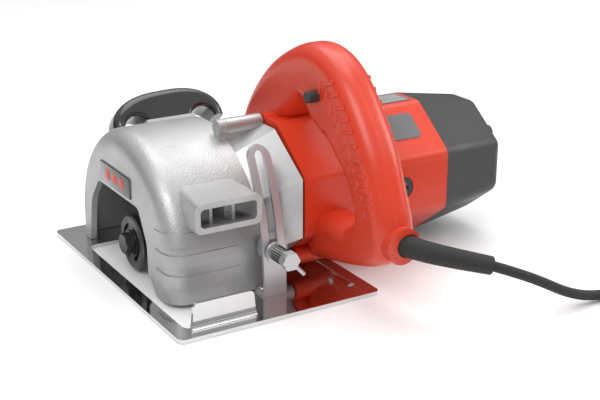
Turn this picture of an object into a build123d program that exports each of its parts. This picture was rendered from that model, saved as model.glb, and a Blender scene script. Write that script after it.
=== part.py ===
"""Wall chaser for 150 mm diamond discs, built as an assembly of separate pieces.

Frame: millimetres, +Z up, origin on the underside of the sole plate at its centre.
X runs along the spindle and motor, +X towards the motor. The operator pushes towards +Y.
"""
from build123d import *
import os
from math import acos, asin, cos, hypot, pi, radians, sin, sqrt, tan

os.makedirs("parts", exist_ok=True)

# ---- sole ----------------------------------------------------------------------------
SOLE_LENGTH = 242.0  # along Y, the direction of feed
SOLE_WIDTH = 164.0  # along X
SOLE_SHEET = 3.0
SOLE_CORNER = 5.0
WINDOW_LEFT = -71.0
WINDOW_RIGHT = -13.0
WINDOW_NEAR = -107.0
WINDOW_FAR = 74.0
WINDOW_CORNER = 7.0
TAB_SHEET = 2.6
TAB_HEIGHT = 19.0
TAB_TAPER = 4.0
TAB_CORNER = 4.0
TAB_BEND = 3.0
BEAD_X = 69.0
BEAD_RADIUS = 4.5
BEAD_HEIGHT = 1.2
BEAD_END_MARGIN = 20.0
HINGE_Y = 114.0
HINGE_Z = 11.0
HINGE_PIN_RADIUS = 3.0
EAR_RADIUS = 5.6
LUG_RADIUS = 6.8
EAR_SHEET = 3.0
SOLE_SWING = 20.0  # degrees that the sole opens from full depth

# ---- depth arm and its clamp ---------------------------------------------------------
ARM_RADIUS = 200.0  # from the hinge to the middle of the strip
ARM_SHEET = 2.5
ARM_WIDTH = 18.5
ARM_X = 11.8
ARM_TOP = 111.0
ARM_SLOT = 7.0
ARM_FOOT = 13.0
CLAMP_Z = 37.0
STUD_RADIUS = 2.9
NUT_RADIUS = 5.6
NUT_LENGTH = 17.0
NUT_HEAD_RADIUS = 7.2
NUT_HEAD_LENGTH = 7.0
TOMMY_RADIUS = 1.6
TOMMY_LENGTH = 38.0
RIVET_RADIUS = 2.0

# ---- blade guard ---------------------------------------------------------------------
ARCH_Y = 18.0  # centre of the guard's arch
ARCH_Z = 21.5
ARCH_RADIUS = 90.0
GUARD_WALL = 5.0
GUARD_FRONT = -64.0
GUARD_BACK = 10.0
GUARD_EDGE = 15.0  # fillet between the front face and the arch
MOUTH_TOP = 62.5
MOUTH_NEAR = -30.0
MOUTH_FAR = 88.0
BAND_PROUD = 1.0
BAND_HEIGHT = 9.6
BAND_PITCH = 15.2
BAND_FIRST = 16.0
NOZZLE_LEFT = -51.5
NOZZLE_RIGHT = 1.5
NOZZLE_BOTTOM = 61.5
NOZZLE_TOP = 84.0
NOZZLE_REACH = 15.0  # how far the rim stands out from the near wall
NOZZLE_WALL = 4.2
NOZZLE_CORNER = 5.0

# ---- spindle, gears and motor --------------------------------------------------------
SPINDLE_Y = 14.0
SPINDLE_Z = 24.0
MOTOR_Y = -22.0
MOTOR_Z = 62.0
PINION_TEETH = 9
LAY_TEETH = 45
FIRST_MODULE = 1.1
LAY_PINION_TEETH = 15
SPINDLE_TEETH = 21
SECOND_MODULE = 1.25
MESH_CLEARANCE = 0.15
SPINDLE_RADIUS = 6.0
LAYSHAFT_RADIUS = 4.5
ARMATURE_RADIUS = 5.0
FLANGE_FACE = -58.0  # front of the outer clamping flange
FLANGE_RADIUS = 21.5
FLANGE_SHEET = 6.0
HUB_RADIUS = 11.1  # the discs' bore is 22.2 mm
SPACER_SHEET = 6.0
SPACERS = 4
BOLT_HEX = 15.0
BOLT_HEAD = 5.5

# ---- casings along X -----------------------------------------------------------------
CASE_GAP = 0.2  # joint between two castings
GEARCASE_FLOOR = 12.0  # thickness of the gear housing's front wall
GEARCASE_BACK = 40.0
PLATE_BACK = 47.8  # back of the bearing plate
HOUSING_FRONT = 42.0
HOUSING_BACK = 173.0
CAP_BACK = 235.0
CAP_TAPER = 9.0
CAP_CORNER = 10.0
CASE_HALF_Y = 57.0
CASE_HALF_Z = 55.0
FLAT_HALF_Z = 23.0
FLAT_HALF_Y = 16.0
CASE_WALL = 3.2
TIE_TOP = (-14.0, 113.5, 6.2)  # y, z and radius of the upper tie boss
TIE_LOW = (-60.0, 17.5, 7.0)
TIE_BACK = 72.0
TIE_FRONT = 3.0
TIE_WEB = 4.0  # half width of the web under the upper tie boss
TIE_WEB_DROP = 18.0

# ---- D handle ------------------------------------------------------------------------
HANDLE_X = 68.0
HANDLE_WIDTH = 32.0
HANDLE_WALL = 3.2
HANDLE_EDGE = 13.0
HANDLE_INNER_EDGE = 10.0
TRIGGER_WIDTH = 14.0
LOCK_RADIUS = 4.5

# ---- cord ----------------------------------------------------------------------------
CORD_DIAMETER = 7.5
COIL_MIDDLE_RADIUS = 41.0
COIL_TURNS_WIDE = 3
COIL_TURNS_HIGH = 3

RUNNING_FIT = 0.05
LOOSE_FIT = 0.3

FIRST_CENTRES = (PINION_TEETH + LAY_TEETH) * FIRST_MODULE / 2 + MESH_CLEARANCE
SECOND_CENTRES = (LAY_PINION_TEETH + SPINDLE_TEETH) * SECOND_MODULE / 2 + MESH_CLEARANCE
GEAR_SECOND = (24.5, 31.0)  # X range of the second pair
GEAR_FIRST = (32.5, 38.0)  # X range of the first pair
LUG_WIDTH = 12.0
LUG_LEFT = -52.0
LUG_RIGHT = -6.0
EAR_PLACES = (LUG_LEFT + LUG_WIDTH + LOOSE_FIT, LUG_RIGHT - LUG_WIDTH - LOOSE_FIT - EAR_SHEET)
ARM_REACH = sqrt((ARM_RADIUS - ARM_SHEET / 2) ** 2 - (HINGE_Z - SOLE_SHEET) ** 2)
ARM_FOOT_Y = HINGE_Y - ARM_REACH + ARM_FOOT / 2 + 1.5
GUARD_FLOOR = SOLE_SHEET + 0.4  # the guard's lower edge rests just over the plate
SNOUT_RADIUS = 17.5
TIE_SCREW = 2.5
TIE_HEAD = 4.5
SCREW_RADIUS = 2.1
PAD_ANGLE = 55.0
PAD_X = (-20.0, 22.0)
PAD_HALF = 12.0
PAD_RISE = 3.0
GRIP_RISE = 25.0
GRIP_OVERHANG = 27.0
GRIP_TIP = 9.0
GRIP_HOLLOW = 5.5
GRIP_EDGE = 7.0
BADGE_SIZE = (57.0, 16.5)
BADGE_SHEET = 0.9
BADGE_Y = 24.0
BADGE_Z = 73.5
SPINDLE_BEARING = 13.0
LAY_BEARING = 8.5
ARMATURE_BEARING = 11.0
SEAL_RADIUS = 12.0
GEAR_ROOM = 0.6  # air round the teeth
GEARCASE_START = GUARD_BACK + CASE_GAP
SPINDLE_SEATS = ((GEARCASE_START - 7, GEARCASE_START), (GEARCASE_START + 4, GEARCASE_START + 12))
SEAL_SEAT = (GEARCASE_START - 10.4, GEARCASE_START - 7.4)
LAY_SEAT = (GEARCASE_START + 5, GEARCASE_START + 11)
PLATE_SEAT = (GEARCASE_BACK + CASE_GAP, PLATE_BACK - 1.4)
REAR_BEARING = 151.0
REAR_BEARING_WIDTH = 7.0
STATOR_X = (70.0, 114.0)
STATOR_RADIUS = 46.0
STATOR_BORE = 28.4
BRUSH_X = 131.0
BRUSH_CAP = 9.0
CAP_BOSS = 4.6
COMMUTATOR_RADIUS = 15.0
BRUSH_LENGTH_OUT = 32.0
BRUSH_LENGTH = 14.0
BOLT_RADIUS = 3.5
FAN_X = 52.0
FAN_RADIUS = 44.0
OUTER_CURVE = [
    (47, 92), (38, 112), (20, 136), (-4, 157), (-30, 171.5), (-60, 180.5), (-86, 176.5), (-108, 162.5),
    (-127, 141.5), (-144, 117), (-156, 90), (-164.5, 63), (-161, 46), (-146, 35.5), (-124, 28),
    (-98, 21.5), (-66, 15),
]
HOLE_CORNERS = [
    (-60, 56), (-96, 55.5), (-114, 54), (-126.5, 68), (-113, 92), (-88, 113), (-67, 122), (-50, 140),
    (-24, 112),
]
HOLE_RADII = [0, 20, 9, 12, 30, 30, 14, 5, 0]
TRIGGER_PIVOT = (-87.0, 121.0)
TRIGGER_SWING = 5.0
TRIGGER_PIN = 1.5
TRIGGER_ROOM = 0.9  # gap between the trigger and its slot
# The inset and half width of each of the two prisms that hollow the handle
HANDLE_ROOMS = ((8.0, HANDLE_WIDTH / 2 - HANDLE_WALL), (3.5, HANDLE_WIDTH / 2 - 9.0))
HANDLE_BOSS = 4.6
COLLAR_Y = (-168.0, -150.0)
COLLAR_RADIUS = 13.5
TRIGGER_CORNERS = [(-55, 148), (-49.5, 139), (-66, 118), (-86, 109.5), (-93, 117), (-90, 126), (-74, 131)]
TRIGGER_RADII = [3, 3, 12, 3, 4, 4, 12]
LOCK_PLACE = (-78.0, 146.0)
LOCK_OUT = 9.0
SWITCH_HALF = 6.3
SLEEVE_POINTS = [
    (68, -144, 57), (69.5, -164, 57), (77.5, -180, 55.5), (93, -193.5, 52), (117, -202.5, 45),
]
SLEEVE_START_RADIUS = 8.4
SLEEVE_END_RADIUS = 6.6
COIL_CENTRE = (292.0, -262.0)
COIL_START_Y = COIL_CENTRE[1] + COIL_MIDDLE_RADIUS + CORD_DIAMETER
FLOOR_Z = CORD_DIAMETER / 2
CORD_POINTS = [
    SLEEVE_POINTS[-1], (138, -208.5, 36.5), (159, -211, 26), (180, -211.5, 14), (203, -212, 5.5),
    (228, -214.5, FLOOR_Z), (252, -214, FLOOR_Z), (273, COIL_START_Y, FLOOR_Z),
]
TAIL_X = COIL_CENTRE[0] + COIL_MIDDLE_RADIUS + CORD_DIAMETER
PLUG_HEAD = 16.0
PLUG_NECK = 22.0
PLUG_LENGTH = 16.0
PIN_LENGTH = 19.0
PIN_RADIUS = 2.35
PIN_SPREAD = 19.0
PLUG_Z = PLUG_HEAD + 0.2
TAIL_POINTS = [
    (TAIL_X, COIL_CENTRE[1] + 16, FLOOR_Z), (TAIL_X + 1, COIL_CENTRE[1] + 34, FLOOR_Z),
    (TAIL_X + 4, COIL_CENTRE[1] + 54, FLOOR_Z + 6), (TAIL_X + 8, COIL_CENTRE[1] + 75, PLUG_Z),
    (TAIL_X + 11, COIL_CENTRE[1] + 92, PLUG_Z),
]


def block(x0, x1, y0, y1, z0, z1):
    """Box between two corners."""
    middle = ((x0 + x1) / 2, (y0 + y1) / 2, (z0 + z1) / 2)
    return Pos(*middle) * Box(x1 - x0, y1 - y0, z1 - z0)


def x_rod(x0, x1, y, z, radius):
    """Cylinder along X."""
    return Pos((x0 + x1) / 2, y, z) * Rot(0, 90, 0) * Cylinder(radius, x1 - x0)


def y_rod(y0, y1, x, z, radius):
    """Cylinder along Y."""
    return Pos(x, (y0 + y1) / 2, z) * Rot(90, 0, 0) * Cylinder(radius, y1 - y0)


def rod(start, end, radius):
    """Cylinder from one point to another."""
    start, end = Vector(start), Vector(end)
    along = end - start
    place = Plane(origin=start, z_dir=along).location
    return place * Cylinder(radius, along.length, align=(Align.CENTER, Align.CENTER, Align.MIN))


def x_ring(x0, x1, y, z, outer, inner):
    """Tube along X."""
    return x_rod(x0, x1, y, z, outer) - x_rod(x0 - 1, x1 + 1, y, z, inner)


def x_hex(x0, x1, y, z, flats):
    """Hexagonal prism along X, measured across its flats."""
    face = Plane.YZ * RegularPolygon(flats / 2, 6, major_radius=False)
    return Pos(x0, y, z) * extrude(face, x1 - x0)


def yz_face(points, radii=None):
    """Polygon in the YZ plane, with each corner rounded by its own radius."""
    face = make_face(Polyline(*points, close=True))
    for point, radius in zip(points, radii or []):
        if radius:
            corner = face.vertices().sort_by_distance((point[0], point[1], 0))[0]
            face = fillet(corner, radius)
    return Plane.YZ * face


def yz_prism(points, x0, x1, radii=None):
    """Solid with a YZ outline, from x0 to x1."""
    return Pos(x0, 0, 0) * extrude(yz_face(points, radii), x1 - x0)


def solids_of(shape):
    """Every solid of a shape as one flat compound."""
    found = shape.solids()
    return found[0] if len(found) == 1 else Compound(children=list(found))


def write(name, *shapes):
    """Write one node, whose solids stay separate."""
    pieces = [solid for shape in shapes for solid in shape.solids()]
    node = pieces[0] if len(pieces) == 1 else Compound(children=pieces)
    export_step(node, f"parts/{name}.step")


def case_outline(inset=0.0):
    """Corners of the motor casing's octagon, moved in by an inset."""
    half_y, half_z = CASE_HALF_Y - inset, CASE_HALF_Z - inset
    flat_y, flat_z = FLAT_HALF_Y - 0.4 * inset, FLAT_HALF_Z - 0.4 * inset
    quarter = [(half_y, flat_z), (flat_y, half_z)]
    ring = quarter + [(-y, z) for y, z in reversed(quarter)]
    ring = ring + [(-y, -z) for y, z in ring]
    return [(MOTOR_Y + y, MOTOR_Z + z) for y, z in ring]


def case_prism(x0, x1, inset=0.0, corner=CAP_CORNER):
    """Length of the motor casing's octagon with softened corners."""
    return yz_prism(case_outline(inset), x0, x1, [max(corner - inset, 1.0)] * 8)


# ---- where the three gear shafts lie -------------------------------------------------


def lay_centre():
    """Place of the layshaft: both centre distances met, on the near side."""
    gap_y, gap_z = SPINDLE_Y - MOTOR_Y, SPINDLE_Z - MOTOR_Z
    gap = hypot(gap_y, gap_z)
    along = (FIRST_CENTRES**2 - SECOND_CENTRES**2 + gap**2) / (2 * gap)
    aside = sqrt(max(FIRST_CENTRES**2 - along**2, 0.0))
    unit_y, unit_z = gap_y / gap, gap_z / gap
    return (MOTOR_Y + along * unit_y + aside * unit_z, MOTOR_Z + along * unit_z - aside * unit_y)


LAY_Y, LAY_Z = lay_centre()


def spur_gear(teeth, module, x_range, y, z, bore, phase):
    """Toothed wheel along X whose first tooth points at the phase angle, in radians."""
    pitch, addendum, dedendum = teeth * module / 2, 0.8 * module, 1.15 * module
    profile = [(pitch - dedendum, 0.30), (pitch, 0.225), (pitch + addendum, 0.11)]
    step = 2 * pi / teeth
    points = []
    for tooth in range(teeth):
        middle = phase + tooth * step
        side = [(radius, middle - share * step) for radius, share in profile]
        back = [(radius, middle + share * step) for radius, share in reversed(profile)]
        points += [(y + r * cos(a), z + r * sin(a)) for r, a in side + back]
    wheel = yz_prism(points, *x_range)
    return wheel - x_rod(x_range[0] - 1, x_range[1] + 1, y, z, bore)


def bearing(x0, x1, y, z, outer, inner):
    """Sealed ball bearing drawn as two rings and a shield between them."""
    race = (outer - inner) * 0.26
    rings = x_ring(x0, x1, y, z, outer, inner)
    groove = x_ring(x0 - 1, x0 + 0.6, y, z, outer - race, inner + race)
    rings = rings - groove - Pos(x1 - x0 + 0.4, 0, 0) * groove
    return rings


# ======================================================================================
# Sole body
# ======================================================================================
def make_sole():
    """Bright sole plate with its blade window, turned-up tab, bead and hinge ears."""
    half_x, half_y = SOLE_WIDTH / 2, SOLE_LENGTH / 2
    plate = extrude(RectangleRounded(SOLE_WIDTH, SOLE_LENGTH, SOLE_CORNER), SOLE_SHEET)
    window_x, window_y = WINDOW_RIGHT - WINDOW_LEFT, WINDOW_FAR - WINDOW_NEAR
    window = extrude(RectangleRounded(window_x, window_y, WINDOW_CORNER), 4 * SOLE_SHEET)
    middle = (WINDOW_LEFT + WINDOW_RIGHT) / 2
    plate = plate - Pos(middle, (WINDOW_NEAR + WINDOW_FAR) / 2, -SOLE_SHEET) * window
    tab_half = (window_x - WINDOW_CORNER) / 2
    top, top_half = SOLE_SHEET + TAB_HEIGHT, tab_half - TAB_TAPER / 2
    corners = [(-tab_half, 0), (tab_half, 0), (top_half, top), (-top_half, top)]
    tab = make_face(Polyline(*corners, close=True))
    tab = fillet(tab.vertices().group_by(Axis.Y)[-1], TAB_CORNER)
    tab = Pos(middle, WINDOW_NEAR, 0) * extrude(Plane.XZ * tab, TAB_SHEET)
    left, right = middle - tab_half, middle + tab_half
    foot_y, bend_z = WINDOW_NEAR - TAB_SHEET - TAB_BEND, SOLE_SHEET + TAB_BEND
    foot = block(left, right, foot_y, WINDOW_NEAR, 0, bend_z)
    plate = plate + tab + (foot - x_rod(left - 1, right + 1, foot_y, bend_z, TAB_BEND))
    bead_half = half_y - BEAD_END_MARGIN
    bead = y_rod(-bead_half, bead_half, BEAD_X, SOLE_SHEET + BEAD_HEIGHT - BEAD_RADIUS, BEAD_RADIUS)
    bead = bead & block(0, half_x, -half_y, half_y, SOLE_SHEET / 2, 2 * SOLE_SHEET + BEAD_HEIGHT)
    plate = plate + bead
    for x in EAR_PLACES:
        ear = x_rod(x, x + EAR_SHEET, HINGE_Y, HINGE_Z, EAR_RADIUS)
        near, far = HINGE_Y - EAR_RADIUS, HINGE_Y + EAR_RADIUS
        plate = plate + ear + block(x, x + EAR_SHEET, near, far, SOLE_SHEET / 2, HINGE_Z)
    plate = plate - x_rod(-half_x, half_x, HINGE_Y, HINGE_Z, HINGE_PIN_RADIUS + RUNNING_FIT)
    for x in rivet_places():
        plate = plate - Pos(x, ARM_FOOT_Y, SOLE_SHEET / 2) * Cylinder(RIVET_RADIUS, 3 * SOLE_SHEET)
    return plate


def rivet_places():
    """X places of the two rivets that hold the arm's foot."""
    return (ARM_X - ARM_WIDTH / 4, ARM_X + ARM_WIDTH / 4)


def arm_y(z):
    """Y of the arm's middle surface at a height."""
    return HINGE_Y - sqrt(ARM_RADIUS**2 - (z - HINGE_Z) ** 2)


def make_depth_arm():
    """Slotted strip that curves about the sole's hinge, with a foot on the plate."""
    outer, inner = ARM_RADIUS + ARM_SHEET / 2, ARM_RADIUS - ARM_SHEET / 2
    x0, x1 = ARM_X - ARM_WIDTH / 2, ARM_X + ARM_WIDTH / 2
    y0, y1 = HINGE_Y - outer - 1, HINGE_Y - ARM_RADIUS / 2
    tip_z = ARM_TOP - ARM_WIDTH / 2
    room = block(x0 - 1, x1 + 1, y0, y1, SOLE_SHEET, tip_z) + y_rod(y0, y1, ARM_X, tip_z, ARM_WIDTH / 2)
    strip = x_ring(x0, x1, HINGE_Y, HINGE_Z, outer, inner) & room
    opened = asin((CLAMP_Z - HINGE_Z) / ARM_RADIUS) + radians(SOLE_SWING)
    slot_top = HINGE_Z + ARM_RADIUS * sin(opened) + 0.6
    slot = Rot(0, 0, 90) * SlotCenterToCenter(slot_top - CLAMP_Z, ARM_SLOT)
    slot = Pos(ARM_X, (CLAMP_Z + slot_top) / 2) * slot
    strip = strip - extrude(Plane.XZ * slot, 300, both=True)
    foot_y = HINGE_Y - ARM_REACH - ARM_SHEET / 2
    arm = strip + block(x0, x1, foot_y, foot_y + ARM_FOOT, SOLE_SHEET, SOLE_SHEET + ARM_SHEET)
    for x in rivet_places():
        arm = arm - Pos(x, ARM_FOOT_Y, SOLE_SHEET) * Cylinder(RIVET_RADIUS, 4 * SOLE_SHEET)
    return arm


def make_arm_rivets():
    """Two domed rivets through the arm's foot and the plate."""
    rivets = []
    top = SOLE_SHEET + ARM_SHEET
    for x in rivet_places():
        head = rod((x, ARM_FOOT_Y, top), (x, ARM_FOOT_Y, top + 1.4), RIVET_RADIUS * 1.8)
        head = fillet(head.edges().filter_by(GeomType.CIRCLE).sort_by(Axis.Z)[-1], 1.0)
        rivets.append(head + rod((x, ARM_FOOT_Y, 0), (x, ARM_FOOT_Y, top), RIVET_RADIUS))
    return rivets


# ======================================================================================
# Guard
# ======================================================================================


def arch_outline(radius):
    """Arch in the YZ plane: a half circle on two straight legs."""
    left, right, low = ARCH_Y - radius, ARCH_Y + radius, GUARD_FLOOR - 5
    legs = Polyline((left, ARCH_Z), (left, low), (right, low), (right, ARCH_Z))
    crown = ThreePointArc((right, ARCH_Z), (ARCH_Y, ARCH_Z + radius), (left, ARCH_Z))
    return Plane.YZ * make_face([*legs.edges(), crown])


def arch_solid(radius, x0, x1, edge=0.0):
    """Arch between two X places, with a fillet round its front edge."""
    solid = Pos(x0, 0, 0) * extrude(arch_outline(radius), x1 - x0)
    if edge:
        front = solid.edges().filter_by_position(Axis.X, x0 - 0.01, x0 + 0.01)
        low = front.sort_by(Axis.Z)[0]
        solid = fillet([line for line in front if line != low], edge)
    return solid


def nozzle_solid(grow, y_root, y_rim):
    """Tapered box of the dust outlet from the guard to its rim, moved in by -grow."""
    rim_x, rim_z = (NOZZLE_LEFT + NOZZLE_RIGHT) / 2, (NOZZLE_BOTTOM + NOZZLE_TOP) / 2
    width, height = NOZZLE_RIGHT - NOZZLE_LEFT + 2 * grow, NOZZLE_TOP - NOZZLE_BOTTOM + 2 * grow
    corner = NOZZLE_CORNER + grow * 0.4
    rim_place = Plane(origin=(rim_x, y_rim, rim_z), x_dir=(1, 0, 0), z_dir=(0, -1, 0))
    root_place = Plane(origin=(rim_x + 3, y_root, rim_z - 4), x_dir=(1, 0, 0), z_dir=(0, -1, 0))
    rim = rim_place * RectangleRounded(width, height, corner)
    root = root_place * RectangleRounded(width - 6, height + 8, corner)
    return loft([root, rim])


def tie_web(x0, x1):
    """Web that joins the upper tie boss to the casting under it."""
    y, z = TIE_TOP[0], TIE_TOP[1]
    return block(x0, x1, y - TIE_WEB, y + TIE_WEB, z - TIE_WEB_DROP, z)


def make_guard():
    """Cast guard: arch shell, front mouth, dust outlet, bands, hinge lugs and handle pad."""
    shell = arch_solid(ARCH_RADIUS, GUARD_FRONT, GUARD_BACK, GUARD_EDGE)
    band_zone = arch_solid(ARCH_RADIUS + BAND_PROUD, GUARD_FRONT - BAND_PROUD, GUARD_BACK, GUARD_EDGE)
    for row in range(3):
        low = BAND_FIRST + row * BAND_PITCH
        slab = block(GUARD_FRONT - 2, -9.0, -80, -45, low, low + BAND_HEIGHT)
        shell = shell + (band_zone & slab)
    near_wall = ARCH_Y - ARCH_RADIUS
    rim_y = near_wall - NOZZLE_REACH
    shell = shell + nozzle_solid(0.0, near_wall + 26, rim_y)
    shell = shell + x_rod(TIE_FRONT, GUARD_BACK, TIE_TOP[0], TIE_TOP[1], TIE_TOP[2])
    shell = shell + tie_web(TIE_FRONT, GUARD_BACK)
    far_wall = ARCH_Y + ARCH_RADIUS - 2
    for x in (LUG_LEFT, LUG_RIGHT - LUG_WIDTH):
        shell = shell + x_rod(x, x + LUG_WIDTH, HINGE_Y, HINGE_Z, LUG_RADIUS)
        shell = shell + block(x, x + LUG_WIDTH, far_wall, HINGE_Y, HINGE_Z - 4, HINGE_Z + LUG_RADIUS)
    shell = shell + pad_solid()
    inner_x0, inner_x1 = GUARD_FRONT + GUARD_WALL, GUARD_BACK - GUARD_WALL
    shell = shell - arch_solid(ARCH_RADIUS - GUARD_WALL, inner_x0, inner_x1, GUARD_EDGE - 5)
    shell = shell - nozzle_solid(-NOZZLE_WALL, near_wall + 30, rim_y - 0.01)
    mouth = [(MOUTH_NEAR, -10), (MOUTH_NEAR, 38), (MOUTH_NEAR + 14, MOUTH_TOP)]
    mouth += [(MOUTH_FAR - 28, MOUTH_TOP), (MOUTH_FAR - 10, 42), (MOUTH_FAR, -10)]
    shell = shell - yz_prism(mouth, GUARD_FRONT - 20, inner_x0 + 1, [0, 14, 7, 9, 30, 0])
    near_foot = [(MOUTH_NEAR - 16, 0), (MOUTH_NEAR + 1, 0), (MOUTH_NEAR + 1, 18)]
    shell = shell - yz_prism(near_foot, GUARD_FRONT - 20, inner_x0 + 15)
    shell = shell - block(GUARD_FRONT - 20, GUARD_BACK + 40, -200, 200, -50, GUARD_FLOOR)
    shell = shell - x_rod(0, 40, SPINDLE_Y, SPINDLE_Z, SNOUT_RADIUS + LOOSE_FIT)
    shell = shell - block(0, 40, SPINDLE_Y - SNOUT_RADIUS, SPINDLE_Y + SNOUT_RADIUS, 0, SPINDLE_Z)
    shell = shell - x_rod(-200, 200, HINGE_Y, HINGE_Z, HINGE_PIN_RADIUS)
    shell = shell - x_rod(TIE_FRONT + 4, 200, TIE_TOP[0], TIE_TOP[1], TIE_SCREW)
    for y, z in guard_screw_places():
        shell = shell - x_rod(GUARD_BACK - 20, GUARD_BACK + 1, y, z, SCREW_RADIUS)
    for screw_x in pad_screw_places():
        shell = shell - pad_rod(screw_x, ARCH_RADIUS - 12, ARCH_RADIUS + 10, SCREW_RADIUS)
    vane_x = (NOZZLE_LEFT + NOZZLE_RIGHT) / 2
    for offset in (-9.0, 9.0):
        vane = block(vane_x + offset - 1.2, vane_x + offset + 1.2, near_wall - 4, near_wall + 8, 50, 95)
        shell = shell + (vane & nozzle_solid(-0.5, near_wall + 30, rim_y))
    return solids_of(shell)


def pad_frame():
    """Frame of the handle pad: local Z points out from the arch, local X is X."""
    out = (0, cos(radians(PAD_ANGLE)), sin(radians(PAD_ANGLE)))
    return Plane(origin=(0, ARCH_Y, ARCH_Z), x_dir=(1, 0, 0), z_dir=out)


def pad_solid():
    """Flat pad on the arch that carries the front handle."""
    base = Box(PAD_X[1] - PAD_X[0], 2 * PAD_HALF, 12, align=(Align.MIN, Align.CENTER, Align.MAX))
    return pad_frame().location * Pos(PAD_X[0], 0, ARCH_RADIUS + PAD_RISE) * base


def pad_screw_places():
    """X places of the screws in the handle pad."""
    return (PAD_X[0] + 8.0, PAD_X[1] - 8.0)


def pad_rod(x, r0, r1, radius):
    """Cylinder out from the arch's centre line at the pad's angle."""
    pin = Cylinder(radius, r1 - r0, align=(Align.CENTER, Align.CENTER, Align.MIN))
    return pad_frame().location * Pos(x, 0, r0) * pin


def guard_screw_places():
    """Y and Z of the screws that hold the guard to the gear housing."""
    return ((-50.0, 22.0), (-44.0, 62.0), (-8.0, 92.0), (28.0, 76.0))


def make_front_handle():
    """Bow grip on the guard's far shoulder, with a finger hollow on each side."""
    base = ARCH_RADIUS + PAD_RISE
    low_left, low_right, top = base - 1.5, base - 4, base + GRIP_RISE
    left, right = PAD_X[0] - GRIP_OVERHANG, PAD_X[1] + GRIP_OVERHANG
    middle = (PAD_X[0] + PAD_X[1]) / 2
    foot_left, foot_right = PAD_X[0] + 2, PAD_X[1] - 2
    tip_left, tip_right = left + GRIP_TIP, right - GRIP_TIP
    rise = [(left, low_left), (left + 6, top - 13), (left + 22, top - 3.5), (middle, top)]
    fall = [(right - 20, top - 2.5), (right - 5, top - 12), (right, low_right)]
    hollow_right = ((tip_right + foot_right) / 2 + 1, base + GRIP_HOLLOW)
    hollow_left = ((tip_left + foot_left) / 2 - 1, base + GRIP_HOLLOW)
    outline = [
        Spline(*rise, *fall),
        Line((right, low_right), (tip_right, low_right)),
        ThreePointArc((tip_right, low_right), hollow_right, (foot_right, base)),
        Line((foot_right, base), (foot_left, base)),
        ThreePointArc((foot_left, base), hollow_left, (tip_left, low_left)),
        Line((tip_left, low_left), (left, low_left)),
    ]
    grip = extrude(Plane.XZ * make_face(outline), PAD_HALF, both=True)
    rims = [edge for edge in grip.edges() if abs(abs(edge.center().Y) - PAD_HALF) < 0.01]
    grip = fillet([edge for edge in rims if edge.length > right - left], GRIP_EDGE)
    rims = [edge for edge in grip.edges() if abs(abs(edge.center().Y) - PAD_HALF) < 0.01]
    hollows = [edge for edge in rims if edge.geom_type == GeomType.CIRCLE and edge.length > 15]
    grip = pad_frame().location * fillet(hollows, 3.0)
    for x in pad_screw_places():
        grip = grip - pad_rod(x, base - 5, top + 20, SCREW_RADIUS)
        grip = grip - pad_rod(x, base + 12, top + 20, 2 * SCREW_RADIUS)
    return grip


def make_front_handle_screws():
    """Two screws through the front handle into its pad."""
    base = ARCH_RADIUS + PAD_RISE
    screws = []
    for x in pad_screw_places():
        screw = pad_rod(x, base - 11, base + 12, SCREW_RADIUS)
        screws.append(screw + pad_rod(x, base + 12, base + 15, 1.8 * SCREW_RADIUS))
    return screws


def make_guard_badge():
    """Plain plate in the recess above the guard's mouth."""
    plate = extrude(Plane.YZ * RectangleRounded(BADGE_SIZE[0], BADGE_SIZE[1], 2.0), BADGE_SHEET)
    return Pos(GUARD_FRONT - BADGE_SHEET, BADGE_Y, BADGE_Z) * plate


# ======================================================================================
# Gear housing and bearing plate
# ======================================================================================
def gearcase_front():
    """Eight corners of the gear housing where it meets the guard."""
    return [(36, 84), (0, 106), (-30, 97), (-60, 66), (-70, 30), (-40, 7), (26, 6.5), (36, 16)]


def gearcase_rear(inset=0.0):
    """Eight corners of the gear housing where it meets the bearing plate."""
    y0, y1 = MOTOR_Y - CASE_HALF_Y + inset, MOTOR_Y + CASE_HALF_Y + 1 - inset
    z0, z1 = MOTOR_Z - CASE_HALF_Z + inset, MOTOR_Z + CASE_HALF_Z - 4 - inset
    near, far = MOTOR_Y - FLAT_HALF_Y + 0.4 * inset, MOTOR_Y + FLAT_HALF_Y
    low, high = MOTOR_Z - FLAT_HALF_Z + 0.4 * inset, MOTOR_Z + FLAT_HALF_Z - 0.4 * inset
    upper = [(y1, high - 1), (far, z1), (near, z1), (y0, high)]
    return upper + [(y0, low), (near, z0), (26 - inset, z0), (y1, 16 + inset)]


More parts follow.
